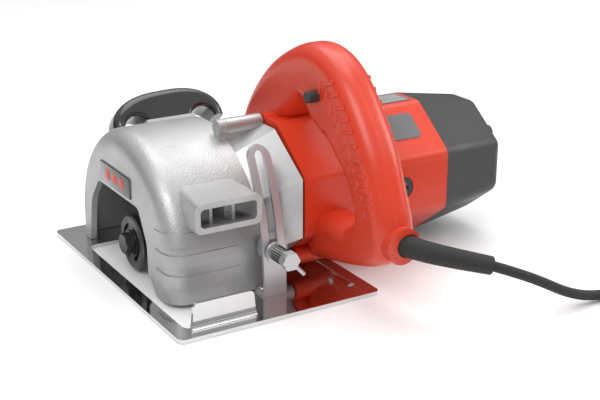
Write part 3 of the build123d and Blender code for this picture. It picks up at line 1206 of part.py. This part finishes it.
write("sole_plate", make_sole())
write("depth_arm", make_depth_arm())
write("arm_rivets", *make_arm_rivets())
write("blade_guard", guard)
write("guard_badge", make_guard_badge())
write("front_handle", make_front_handle())
write("front_handle_screws", *make_front_handle_screws())
write("gear_housing", gear_housing)
write("bearing_plate", make_bearing_plate())
for name, pieces in bearings.items():
    write(name, *pieces)
write("spindle_seal", make_spindle_seal())
write("motor_housing", make_motor_housing())
write("rear_cap", make_rear_cap())
write("cap_screws", *make_cap_screws())
write("tie_screws", *make_tie_screws())
write("guard_screws", *make_guard_screws())
write("stator_core", core)
write("stator_windings", *windings)
write("brush_holders", *holders)
write("brush_caps", *caps)
write("carbon_brushes", *brushes)
write("brush_springs", *springs)
write("spindle", make_spindle())
write("spindle_gear", spindle_gear)
write("outer_flange", outer_flange)
write("blade_spacers", *spacers)
write("inner_flange", inner_flange)
write("flange_bolt", flange_bolt)
write("flange_washer", flange_washer)
write("layshaft", layshaft)
write("layshaft_gear", lay_gear)
write("armature_shaft", armature_shaft)
write("armature_core", armature_core)
write("armature_windings", *armature_windings.solids())
write("commutator", commutator)
write("cooling_fan", fan)
write("handle_shell_left", shells[0])
write("handle_shell_right", shells[1])
write("handle_screws", *make_handle_screws())
write("trigger", make_trigger())
write("trigger_pin", make_trigger_pin())
write("lock_button", make_lock_button())
write("switch_body", make_switch_body())
write("clamp_stud", make_clamp_stud())
write("clamp_washer", make_clamp_washer())
write("clamp_nut", make_clamp_nut())
write("tommy_bar", make_tommy_bar())
write("hinge_pin", make_hinge_pin())
write("rating_plate", rating_plate)
write("top_label", top_label)
write("cord_sleeve", make_sleeve())
write("power_cord", *[cord_tube(points, CORD_DIAMETER / 2) for points in (CORD_POINTS, TAIL_POINTS)])
write("cord_coil", make_coil())
write("mains_plug", make_plug())
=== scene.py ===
"""Looks of the wall chaser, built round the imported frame."""
import logging
from dataclasses import dataclass
from enum import Enum
from math import cos, pi, radians, sin

import bmesh
import bpy
from mathutils import Matrix, Vector
from mathutils.bvhtree import BVHTree


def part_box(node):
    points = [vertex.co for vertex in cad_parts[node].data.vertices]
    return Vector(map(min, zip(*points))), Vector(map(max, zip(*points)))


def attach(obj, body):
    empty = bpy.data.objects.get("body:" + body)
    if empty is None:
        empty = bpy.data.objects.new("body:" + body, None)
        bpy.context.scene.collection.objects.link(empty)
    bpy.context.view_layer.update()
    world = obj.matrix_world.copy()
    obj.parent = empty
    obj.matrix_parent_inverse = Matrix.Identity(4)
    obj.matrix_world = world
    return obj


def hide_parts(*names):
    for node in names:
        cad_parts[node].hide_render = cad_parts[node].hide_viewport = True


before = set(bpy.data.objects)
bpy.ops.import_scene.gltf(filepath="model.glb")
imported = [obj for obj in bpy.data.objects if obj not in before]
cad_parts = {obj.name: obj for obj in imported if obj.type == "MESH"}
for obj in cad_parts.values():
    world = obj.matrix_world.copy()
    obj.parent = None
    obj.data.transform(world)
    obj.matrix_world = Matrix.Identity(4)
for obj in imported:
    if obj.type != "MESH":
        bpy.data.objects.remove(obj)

LOG = logging.getLogger("wall_chaser")
MM = 0.001
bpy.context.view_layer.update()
Colour = tuple[float, float, float]
Point = tuple[float, float, float]
SHARP_ANGLE = 35.0  # degrees over which an edge stays sharp
RIM_ROUND = 0.4  # softening of a rod's rim, in millimetres
BRUSH_STRETCH = 0.06  # how far brushed marks are drawn out along X
FINE_SCALE = 900.0  # scale of the fine grain over hammered paint
FINE_SHARE = 0.35
COAT_ROUGHNESS = 0.12
HANDLING_SPREAD = (0.32, 0.68)  # noise values that become 0 and 1
FLOOR_DROP = 0.0002  # gap under the tool, in metres


# ---- finishes ------------------------------------------------------------------------
class Grain(Enum):
    """Kind of relief that a surface has."""

    MOULDED = "moulded"
    HAMMERED = "hammered"
    CAST = "cast"
    BRUSHED = "brushed"


class NodeTree:
    """Small wrapper that places and joins shader nodes."""

    def __init__(self, tree: bpy.types.NodeTree) -> None:
        """Keep the tree.

        Args:
            tree: tree of a material or of a node group.
        """
        self.tree = tree

    def add(self, kind: str, **values: object) -> bpy.types.Node:
        """Place a node.

        Args:
            kind: type of the node.
            values: attributes of the node.

        Returns:
            The new node.
        """
        node = self.tree.nodes.new(kind)
        for name, value in values.items():
            setattr(node, name, value)
        return node

    def join(self, source: bpy.types.NodeSocket, target: bpy.types.NodeSocket) -> None:
        """Link two sockets."""
        self.tree.links.new(source, target)


def grain_group(grain: Grain) -> bpy.types.NodeTree:
    """Node group that gives the height of one kind of relief.

    Args:
        grain: kind of relief.

    Returns:
        The group, with an input Scale and an output Height.
    """
    name = "relief_" + grain.value
    if name in bpy.data.node_groups:
        return bpy.data.node_groups[name]
    group = bpy.data.node_groups.new(name, "ShaderNodeTree")
    scale = group.interface.new_socket("Scale", in_out="INPUT", socket_type="NodeSocketFloat")
    scale.default_value = 500.0
    group.interface.new_socket("Height", in_out="OUTPUT", socket_type="NodeSocketFloat")
    tree = NodeTree(group)
    inlet, outlet = tree.add("NodeGroupInput"), tree.add("NodeGroupOutput")
    place = tree.add("ShaderNodeTexCoord").outputs["Object"]
    if grain is Grain.BRUSHED:
        mapping = tree.add("ShaderNodeMapping")
        mapping.inputs["Scale"].default_value = (BRUSH_STRETCH, 1.0, 1.0)
        tree.join(place, mapping.inputs["Vector"])
        place = mapping.outputs["Vector"]
    if grain is Grain.HAMMERED:
        cells = tree.add("ShaderNodeTexVoronoi", feature="SMOOTH_F1")
        cells.inputs["Smoothness"].default_value = 0.7
        tree.join(place, cells.inputs["Vector"])
        tree.join(inlet.outputs["Scale"], cells.inputs["Scale"])
        fine = tree.add("ShaderNodeTexNoise")
        fine.inputs["Scale"].default_value = FINE_SCALE
        tree.join(place, fine.inputs["Vector"])
        total = tree.add("ShaderNodeMath", operation="MULTIPLY_ADD")
        total.inputs[1].default_value = FINE_SHARE
        tree.join(fine.outputs["Fac"], total.inputs[0])
        tree.join(cells.outputs["Distance"], total.inputs[2])
        tree.join(total.outputs[0], outlet.inputs["Height"])
        return group
    noise = tree.add("ShaderNodeTexNoise")
    noise.inputs["Detail"].default_value = 4.0 if grain is Grain.CAST else 2.0
    noise.inputs["Roughness"].default_value = 0.65
    tree.join(place, noise.inputs["Vector"])
    tree.join(inlet.outputs["Scale"], noise.inputs["Scale"])
    tree.join(noise.outputs["Fac"], outlet.inputs["Height"])
    return group


def handling_group() -> bpy.types.NodeTree:
    """Node group of uneven tone and polish left by handling.

    Returns:
        The group, with outputs Tone and Smear from 0 to 1.
    """
    if "handling" in bpy.data.node_groups:
        return bpy.data.node_groups["handling"]
    group = bpy.data.node_groups.new("handling", "ShaderNodeTree")
    for name in ("Tone", "Smear"):
        group.interface.new_socket(name, in_out="OUTPUT", socket_type="NodeSocketFloat")
    tree = NodeTree(group)
    outlet = tree.add("NodeGroupOutput")
    place = tree.add("ShaderNodeTexCoord").outputs["Object"]
    for name, scale, detail in (("Tone", 14.0, 3.0), ("Smear", 55.0, 5.0)):
        noise = tree.add("ShaderNodeTexNoise")
        noise.inputs["Scale"].default_value = scale
        noise.inputs["Detail"].default_value = detail
        spread = tree.add("ShaderNodeMapRange")
        spread.inputs["From Min"].default_value = HANDLING_SPREAD[0]
        spread.inputs["From Max"].default_value = HANDLING_SPREAD[1]
        tree.join(place, noise.inputs["Vector"])
        tree.join(noise.outputs["Fac"], spread.inputs["Value"])
        tree.join(spread.outputs["Result"], outlet.inputs[name])
    return group


@dataclass(frozen=True)
class Finish:
    """One surface finish and the numbers of its shader."""

    name: str
    slot: str
    light: Colour
    dark: Colour
    metallic: float
    smooth: float
    rough: float
    grain: Grain = Grain.MOULDED
    grain_scale: float = 900.0
    depth_mm: float = 0.02
    coat: float = 0.0

    def material(self) -> bpy.types.Material:
        """Material of this finish, made on first use.

        Returns:
            The material.
        """
        if self.name in bpy.data.materials:
            return bpy.data.materials[self.name]
        made = bpy.data.materials.new(self.name)
        made.use_nodes = True
        made.node_tree.nodes.clear()
        tree = NodeTree(made.node_tree)
        shader = tree.add("ShaderNodeBsdfPrincipled")
        shader.inputs["Metallic"].default_value = self.metallic
        shader.inputs["Coat Weight"].default_value = self.coat
        shader.inputs["Coat Roughness"].default_value = COAT_ROUGHNESS
        tree.join(shader.outputs["BSDF"], tree.add("ShaderNodeOutputMaterial").inputs["Surface"])
        handling = tree.add("ShaderNodeGroup", node_tree=handling_group())
        blend = tree.add("ShaderNodeMix", data_type="RGBA")
        blend.inputs["A"].default_value = (*self.light, 1.0)
        blend.inputs["B"].default_value = (*self.dark, 1.0)
        tree.join(handling.outputs["Tone"], blend.inputs["Factor"])
        tree.join(blend.outputs["Result"], shader.inputs["Base Color"])
        polish = tree.add("ShaderNodeMapRange")
        polish.inputs["To Min"].default_value = self.smooth
        polish.inputs["To Max"].default_value = self.rough
        tree.join(handling.outputs["Smear"], polish.inputs["Value"])
        tree.join(polish.outputs["Result"], shader.inputs["Roughness"])
        relief = tree.add("ShaderNodeGroup", node_tree=grain_group(self.grain))
        relief.inputs["Scale"].default_value = self.grain_scale
        bump = tree.add("ShaderNodeBump")
        bump.inputs["Strength"].default_value = 1.0
        bump.inputs["Distance"].default_value = self.depth_mm * MM
        tree.join(relief.outputs["Height"], bump.inputs["Height"])
        tree.join(bump.outputs["Normal"], shader.inputs["Normal"])
        return made


def grey(value: float, warm: float = 0.0) -> Colour:
    """Grey, a little warmer or colder."""
    return (value + warm, value, value - warm)


CHROME = Finish(
    "mirror_chrome", "chrome_plate", grey(0.74), grey(0.66), 1.0, 0.05, 0.14, Grain.CAST, 60.0, 0.05,
)
HAMMERED = Finish(
    "hammered_silver", "cast_guard", grey(0.50), grey(0.42), 0.65, 0.38, 0.50, Grain.HAMMERED, 620.0, 0.16,
)
SILVER = Finish(
    "silver_casting", "cast_housing", grey(0.52), grey(0.45), 0.8, 0.32, 0.44, Grain.CAST, 900.0, 0.04,
)
ORANGE = Finish(
    "orange_plastic", "orange_casing", (0.66, 0.045, 0.014), (0.58, 0.036, 0.011), 0.0, 0.28, 0.40,
    depth_mm=0.015, grain_scale=1400.0, coat=0.12,
)
CHARCOAL = Finish(
    "charcoal_plastic", "black_plastic", grey(0.040), grey(0.030), 0.0, 0.42, 0.55, depth_mm=0.03,
    grain_scale=1600.0,
)
GLOSS_BLACK = Finish(
    "gloss_black", "glossy_black", grey(0.016), grey(0.011), 0.0, 0.16, 0.28, depth_mm=0.012, coat=0.4,
)
RUBBER = Finish(
    "black_rubber", "black_rubber", grey(0.022), grey(0.015), 0.0, 0.45, 0.62, depth_mm=0.03,
    grain_scale=1500.0,
)
BRIGHT = Finish(
    "bright_steel", "bright_steel", grey(0.66), grey(0.56), 1.0, 0.14, 0.30, Grain.BRUSHED, 2500.0, 0.01,
)
BLACKENED = Finish(
    "blackened_steel", "dark_steel", grey(0.10), grey(0.06), 0.9, 0.30, 0.48, Grain.CAST, 900.0, 0.03,
)
LAMINATED = Finish(
    "laminated_steel", "lamination", grey(0.34), grey(0.26), 0.9, 0.30, 0.5, Grain.BRUSHED, 1500.0, 0.05,
)
COPPER = Finish(
    "copper_wire", "copper", (0.72, 0.32, 0.16), (0.55, 0.2, 0.09), 1.0, 0.25, 0.4, Grain.BRUSHED, 1800.0,
    0.08,
)
BRASS = Finish(
    "brass", "brass", (0.78, 0.58, 0.26), (0.66, 0.46, 0.18), 1.0, 0.22, 0.35, Grain.BRUSHED, 2000.0, 0.02,
)
FELT = Finish(
    "felt", "felt", (0.33, 0.31, 0.28), (0.22, 0.2, 0.18), 0.0, 0.85, 0.95, Grain.CAST, 2500.0, 0.2,
)
CARBON = Finish("carbon", "carbon", grey(0.05), grey(0.035), 0.0, 0.4, 0.55, Grain.CAST, 1800.0, 0.04)
LABEL = Finish("label_foil", "plate_label", grey(0.16), grey(0.11), 0.0, 0.25, 0.35, depth_mm=0.005)
BADGE_BLACK = Finish(
    "badge_black", "plate_label", grey(0.035), grey(0.028), 0.0, 0.18, 0.28, depth_mm=0.004, coat=0.5,
)
BADGE_RED = Finish(
    "badge_red", "badge_red", (0.62, 0.02, 0.015), (0.55, 0.016, 0.012), 0.0, 0.2, 0.3, depth_mm=0.004,
    coat=0.5,
)

NODE_FINISHES: dict[Finish, tuple[str, ...]] = {
    CHROME: ("sole_plate",),
    HAMMERED: ("blade_guard",),
    SILVER: ("gear_housing",),
    ORANGE: ("motor_housing", "handle_shell_left", "handle_shell_right"),
    CHARCOAL: (
        "bearing_plate", "rear_cap", "brush_caps", "cooling_fan", "trigger", "lock_button", "switch_body",
    ),
    GLOSS_BLACK: ("front_handle",),
    RUBBER: ("cord_sleeve", "mains_plug"),
    BRIGHT: (
        "depth_arm", "arm_rivets", "front_handle_screws", "spindle_bearings", "layshaft_bearings",
        "armature_bearings", "cap_screws", "tie_screws", "guard_screws", "brush_springs", "blade_spacers",
        "inner_flange", "handle_screws", "trigger_pin", "clamp_stud", "clamp_washer", "clamp_nut",
        "tommy_bar", "hinge_pin",
    ),
    BLACKENED: (
        "spindle", "spindle_gear", "layshaft", "layshaft_gear", "armature_shaft", "outer_flange",
        "flange_bolt", "flange_washer",
    ),
    LAMINATED: ("stator_core", "armature_core"),
    COPPER: ("stator_windings", "armature_windings", "commutator"),
    BRASS: ("brush_holders",),
    FELT: ("spindle_seal",),
    CARBON: ("carbon_brushes",),
    LABEL: ("rating_plate", "top_label"),
}


# ---- making pieces -------------------------------------------------------------------
def metres(*point: float) -> Vector:
    """Point given in millimetres as a vector in metres."""
    return Vector(point) * MM


def add_box(bm: bmesh.types.BMesh, size: Point, round_mm: float, place: Matrix, segments: int = 3) -> None:
    """Add a box with rounded edges.

    Args:
        bm: mesh that takes the box.
        size: lengths along the box's own axes, in millimetres.
        round_mm: radius of its edges, in millimetres.
        place: where the box goes, in metres.
        segments: steps round each edge.
    """
    part = bmesh.new()
    bmesh.ops.create_cube(part, size=1.0)
    bmesh.ops.scale(part, vec=Vector(size) * MM, verts=part.verts)
    bmesh.ops.bevel(
        part, geom=part.edges[:], offset=round_mm * MM, segments=segments, profile=0.5, affect="EDGES",
        material=-1,
    )
    bmesh.ops.transform(part, matrix=place, verts=part.verts)
    take(bm, part)


def add_rod(
    bm: bmesh.types.BMesh, radii: tuple[float, float], length: float, place: Matrix, sides: int = 32,
) -> None:
    """Add a cylinder or cone frustum with softened rims.

    Args:
        bm: mesh that takes the rod.
        radii: radius at the lower and at the upper end, in millimetres.
        length: length along its own Z, in millimetres.
        place: where its middle goes, in metres.
        sides: number of faces round it.
    """
    part = bmesh.new()
    bmesh.ops.create_cone(
        part, cap_ends=True, segments=sides, radius1=radii[0] * MM, radius2=radii[1] * MM, depth=length * MM,
    )
    rims = [edge for edge in part.edges if len({round(v.co.z, 6) for v in edge.verts}) == 1]
    bmesh.ops.bevel(
        part, geom=rims, offset=min(RIM_ROUND, length * 0.2) * MM, segments=2, profile=0.5,
        affect="EDGES", material=-1,
    )
    bmesh.ops.transform(part, matrix=place, verts=part.verts)
    take(bm, part)


def take(bm: bmesh.types.BMesh, part: bmesh.types.BMesh) -> None:
    """Move the whole of one mesh into another.

    Args:
        bm: mesh that takes the other.
        part: mesh that is moved, and freed.
    """
    scratch = bpy.data.meshes.new("scratch")
    part.to_mesh(scratch)
    part.free()
    bm.from_mesh(scratch)
    bpy.data.meshes.remove(scratch)


def finish_piece(name: str, bm: bmesh.types.BMesh, finish: Finish, body: str) -> bpy.types.Object:
    """Turn a mesh into a piece that rides on a body.

    Args:
        name: name of the piece.
        bm: its mesh, in place.
        finish: its finish.
        body: body that carries it.

    Returns:
        The piece.
    """
    mesh = bpy.data.meshes.new(name)
    bm.to_mesh(mesh)
    bm.free()
    mesh.shade_smooth()
    mesh.set_sharp_from_angle(angle=radians(SHARP_ANGLE))
    mesh.materials.append(finish.material())
    piece = bpy.data.objects.new(name, mesh)
    bpy.context.scene.collection.objects.link(piece)
    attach(piece, body)
    LOG.info("made %s", name)
    return piece


def along(axis: Vector, place: Vector, roll: float = 0.0) -> Matrix:
    """Frame whose Z runs along an axis.

    Args:
        axis: direction of its Z.
        place: its origin, in metres.
        roll: turn about its Z, in radians.

    Returns:
        The frame.
    """
    turn = axis.to_track_quat("Z", "Y").to_matrix().to_4x4()
    return Matrix.Translation(place) @ turn @ Matrix.Rotation(roll, 4, "Z")


def dress_nodes() -> None:
    """Give every CAD node its finish."""
    for finish, names in NODE_FINISHES.items():
        for name in names:
            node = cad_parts[name]
            node.data.materials.clear()
            node.data.materials.append(finish.material())


# ---- studio --------------------------------------------------------------------------
@dataclass
class Studio:
    """Camera, pale floor and soft lights."""

    lens: float = 72.0
    place: Point = (-0.3877, -0.7896, 0.3661)
    elevation: float = 19.7
    azimuth: float = -30.9
    softboxes: tuple = (
        ("key", (-1.0, -1.0, 1.5), 1.0, 13.5),
        ("top", (0.3, 0.4, 1.8), 1.6, 20.0),
        ("side", (1.4, -0.6, 0.8), 0.8, 9.0),
    )

    def build(self) -> None:
        """Build the camera, the floor and the lights."""
        scene = bpy.context.scene
        camera = bpy.data.objects.new("camera", bpy.data.cameras.new("camera"))
        camera.data.lens = self.lens
        camera.location = self.place
        camera.rotation_euler = (radians(90 - self.elevation), 0, radians(self.azimuth))
        scene.collection.objects.link(camera)
        scene.camera = camera
        scene.view_settings.view_transform = "Standard"
        self.floor()
        for name, place, size, power in self.softboxes:
            lamp = bpy.data.lights.new(name, "AREA")
            lamp.size = size
            lamp.energy = power
            light = bpy.data.objects.new(name, lamp)
            light.location = place
            aim = metres(40, -20, 60) - Vector(place)
            light.rotation_euler = aim.to_track_quat("-Z", "Y").to_euler()
            scene.collection.objects.link(light)
        self.sky()

    def floor(self) -> None:
        """Build the pale floor."""
        bm = bmesh.new()
        bmesh.ops.create_grid(bm, x_segments=1, y_segments=1, size=12.0)
        mesh = bpy.data.meshes.new("floor")
        bm.to_mesh(mesh)
        bm.free()
        paint = bpy.data.materials.new("floor_paint")
        paint.use_nodes = True
        shader = paint.node_tree.nodes["Principled BSDF"]
        shader.inputs["Base Color"].default_value = (0.9, 0.9, 0.9, 1.0)
        shader.inputs["Roughness"].default_value = 0.45
        mesh.materials.append(paint)
        floor = bpy.data.objects.new("floor", mesh)
        floor.location.z = -FLOOR_DROP
        bpy.context.scene.collection.objects.link(floor)

    def sky(self) -> None:
        """Build a pale dome that darkens towards the horizon on one side."""
        world = bpy.data.worlds.new("dome")
        world.use_nodes = True
        bpy.context.scene.world = world
        tree = NodeTree(world.node_tree)
        back = world.node_tree.nodes["Background"]
        ramp = tree.add("ShaderNodeValToRGB")
        ramp.color_ramp.elements[0].position = 0.0
        ramp.color_ramp.elements[0].color = (0.10, 0.10, 0.105, 1)
        ramp.color_ramp.elements[1].position = 0.62
        ramp.color_ramp.elements[1].color = (1, 1, 1, 1)
        haze = ramp.color_ramp.elements.new(0.3)
        haze.color = (0.30, 0.30, 0.31, 1)
        split = tree.add("ShaderNodeSeparateXYZ")
        tree.join(tree.add("ShaderNodeTexCoord").outputs["Generated"], split.inputs["Vector"])
        tree.join(split.outputs["Z"], ramp.inputs["Fac"])
        tree.join(ramp.outputs["Color"], back.inputs["Color"])
        back.inputs["Strength"].default_value = 0.85


# ---- cord ----------------------------------------------------------------------------
@dataclass
class PowerCord:
    """Free mains lead: its run over the floor, its coil and its plug."""

    radius: float = 3.75
    turns: tuple = (
        (48.5, 0), (41.0, 0), (33.5, 0), (33.5, 1), (33.5, 2), (41.0, 2), (41.0, 1), (48.5, 1), (48.5, 2),
    )
    centre: tuple[float, float] = (292.0, -262.0)
    steps: int = 36
    run: tuple = (
        (117, -202.5, 45), (138, -208.5, 36.5), (159, -211, 26), (180, -211.5, 14), (203, -212, 5.5),
        (228, -214.5, 3.75), (252, -214, 3.75), (273, -213.5, 3.75),
    )
    tail: tuple = (
        (310, -214, 18.6), (328, -210, 17.5), (341, -200, 16.6), (348.6, -185, 16.2), (351.5, -170, 16.2),
    )

    def at_turn(self, turn: float) -> Point:
        """Point of the coil.

        Args:
            turn: how many turns have been wound so far.

        Returns:
            The point, in millimetres.
        """
        index = min(int(turn), len(self.turns) - 1)
        share = turn - index
        (radius, layer), following = self.turns[index], self.turns[min(index + 1, len(self.turns) - 1)]
        start = 0.79 - 0.1 * index
        mix = min(max((share - start) / 0.2, 0.0), 1.0)
        mix = mix * mix * (3 - 2 * mix)
        radius += (following[0] - radius) * mix
        height = (layer + (following[1] - layer) * mix) * 2 * self.radius + self.radius
        angle = pi / 2 - 2 * pi * turn
        return (self.centre[0] + radius * cos(angle), self.centre[1] + radius * sin(angle), height)

    def route(self) -> list[Point]:
        """Every point that the cord's curve follows.

        Returns:
            The points, in millimetres.
        """
        count = len(self.turns) * self.steps
        wound = [self.at_turn(step / self.steps) for step in range(count)]
        return [*self.run, *wound, *self.tail]

    def build(self) -> None:
        """Build the cord, its tie and the ribs of its plug."""
        points = self.route()
        curve = bpy.data.curves.new("mains_cord", "CURVE")
        curve.dimensions = "3D"
        curve.bevel_depth = self.radius * MM
        curve.bevel_resolution = 6
        curve.resolution_u = 3
        curve.use_fill_caps = True
        line = curve.splines.new("NURBS")
        line.points.add(len(points) - 1)
        for spot, point in zip(line.points, points):
            spot.co = (*metres(*point), 1.0)
        line.order_u = 3
        line.use_endpoint_u = True
        curve.materials.append(RUBBER.material())
        cord = bpy.data.objects.new("mains_cord", curve)
        bpy.context.scene.collection.objects.link(cord)
        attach(cord, "machine")
        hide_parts("power_cord", "cord_coil")
        length = sum((Vector(b) - Vector(a)).length for a, b in zip(points, points[1:])) * MM
        LOG.info("cord runs %.3f m", length)
        ribs = self.plug_ribs()
        tie = self.tie()

    def tie(self) -> bpy.types.Object:
        """Wire tie round the coil.

        Returns:
            The tie.
        """
        x, y = self.centre[0], self.centre[1] - 41.0
        corners = [(-10, 6), (-10, 17), (-6, 23.2), (6, 23.2), (12, 17), (12, 6), (6, 1.0), (-6, 1.0)]
        curve = bpy.data.curves.new("cord_tie", "CURVE")
        curve.dimensions = "3D"
        curve.bevel_depth = 0.9 * MM
        curve.bevel_resolution = 3
        line = curve.splines.new("NURBS")
        line.points.add(len(corners) - 1)
        for spot, (across, height) in zip(line.points, corners):
            spot.co = (*metres(x, y + across, height), 1.0)
        line.use_cyclic_u = True
        line.order_u = 3
        curve.materials.append(RUBBER.material())
        tie = bpy.data.objects.new("cord_tie", curve)
        bpy.context.scene.collection.objects.link(tie)
        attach(tie, "machine")
        return tie

    def plug_ribs(self) -> bpy.types.Object:
        """Grip ribs round the plug's neck.

        Returns:
            The ribs, as one piece.
        """
        end, before = Vector(self.tail[-1]), Vector(self.tail[-2])
        heading = Vector((3, 17, 0)).normalized()
        bm = bmesh.new()
        for rib in range(4):
            reach = 4.0 + rib * 4.0
            radius = 5.0 + 6.5 * reach / 22 + 0.7
            add_rod(bm, (radius, radius + 0.4), 1.6, along(heading, (end + heading * reach) * MM))
        return finish_piece("plug_ribs", bm, RUBBER, "machine")


# ---- sub-assemblies ------------------------------------------------------------------
@dataclass
class GripDressing:
    """Raised grip ridges on both flanks of the D handle."""

    middle_x: float = 68.0
    reach: float = 60.0
    line: tuple = ((-86, 157), (-104, 140), (-119, 122), (-131, 104), (-140, 86), (-146, 70))
    pitch: float = 5.0
    slant: float = 24.0
    longest: float = 12.5
    shortest: float = 7.0

    def spots(self) -> list[tuple[Vector, Vector]]:
        """Places along the grip's middle line with the direction there.

        Returns:
            Pairs of a place in millimetres and a unit direction.
        """
        found = []
        for (y0, z0), (y1, z1) in zip(self.line, self.line[1:]):
            start, stop = Vector((0, y0, z0)), Vector((0, y1, z1))
            count = max(round((stop - start).length / self.pitch), 1)
            for step in range(count):
                found.append((start.lerp(stop, step / count), (stop - start).normalized()))
        return found

    def surface(self, node: str) -> BVHTree:
        """Search tree of one node's surface.

        Args:
            node: name of the CAD node.

        Returns:
            The tree.
        """
        bm = bmesh.new()
        bm.from_mesh(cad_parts[node].data)
        tree = BVHTree.FromBMesh(bm)
        bm.free()
        return tree

    def build(self) -> None:
        """Build two staggered columns of slanted ridges on each flank."""
        bm = bmesh.new()
        spots = self.spots()
        for side, node in ((-1, "handle_shell_left"), (1, "handle_shell_right")):
            flank = self.surface(node)
            for index, (place, heading) in enumerate(spots):
                across = heading.cross(Vector((1, 0, 0))).normalized()
                share = index / (len(spots) - 1)
                length = self.longest + (self.shortest - self.longest) * share
                column = 1 if index % 2 else -1
                aim = place + across * column * (length * 0.5 + 0.4)
                start = (aim + Vector((self.middle_x + side * self.reach, 0, 0))) * MM
                spot, normal, _, _ = flank.ray_cast(start, Vector((-side, 0, 0)))
                if spot is None:
                    continue
                lie = Matrix.Rotation(radians(self.slant * column), 3, "X") @ across
                lie = (lie - normal * lie.dot(normal)).normalized()
                turn = Matrix((normal, lie, normal.cross(lie))).transposed().to_4x4()
                add_box(bm, (1.7, length, 3.2), 0.8, Matrix.Translation(spot) @ turn)
        finish_piece("grip_ridges", bm, ORANGE, "machine")


@dataclass
class GuardDressing:
    """Blank badge of the blade guard and its plain marks."""

    badge_y: float = 24.0
    badge_z: float = 73.5
    face_x: float = -64.0

    def build(self) -> None:
        """Build the badge and its marks."""
        bm = bmesh.new()
        place = Matrix.Translation(metres(self.face_x - 0.2, self.badge_y, self.badge_z))
        add_box(bm, (1.9, 57, 16.5), 0.7, place)
        badge = finish_piece("badge_plate", bm, BADGE_BLACK, "machine")
        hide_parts("guard_badge")
        bm = bmesh.new()
        for offset in (-13.0, 0.0, 13.0):
            spot = Matrix.Translation(metres(self.face_x - 1.05, self.badge_y + offset, self.badge_z))
            add_box(bm, (0.6, 8.0, 8.0), 0.25, spot)
        finish_piece("badge_marks", bm, BADGE_RED, "machine")


@dataclass
class ClampDressing:
    """Ribs of the clamp nut's barrel."""

    x: float = 11.8
    z: float = 37.0
    radius: float = 5.6
    ribs: int = 20

    def build(self) -> None:
        """Build the ribs round the barrel."""
        low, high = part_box("clamp_nut")
        start, stop = low.y / MM + 7.6, high.y / MM - 0.6
        bm = bmesh.new()
        for rib in range(self.ribs):
            angle = 2 * pi * rib / self.ribs
            centre = Matrix.Translation(metres(self.x, (start + stop) / 2, self.z))
            spot = centre @ Matrix.Rotation(angle, 4, "Y") @ Matrix.Translation(metres(self.radius, 0, 0))
            add_box(bm, (0.9, stop - start, 0.9), 0.25, spot, 2)
        finish_piece("clamp_ribs", bm, BLACKENED, "clamp")


@dataclass
class PlateDressing:
    """Blank fields of the top label."""

    def build(self) -> None:
        """Build blank pale fields on the label."""
        low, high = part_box("top_label")
        bm = bmesh.new()
        middle = (low + high) / 2
        for offset, size in ((-6.5, 6.0), (3.5, 11.0)):
            spot = Matrix.Translation(Vector((middle.x, middle.y + offset * MM, high.z)))
            add_box(bm, (29.0, size, 0.24), 0.1, spot, 1)
        finish_piece("label_fields", bm, SILVER, "machine")


def main() -> None:
    """Build every class in order."""
    logging.basicConfig(level=logging.INFO)
    builders = (Studio(), PowerCord(), GuardDressing(), GripDressing(), ClampDressing(), PlateDressing())
    dress_nodes()
    for builder in builders:
        builder.build()
        LOG.info("built %s", type(builder).__name__)


if __name__ == "__main__":
    main()
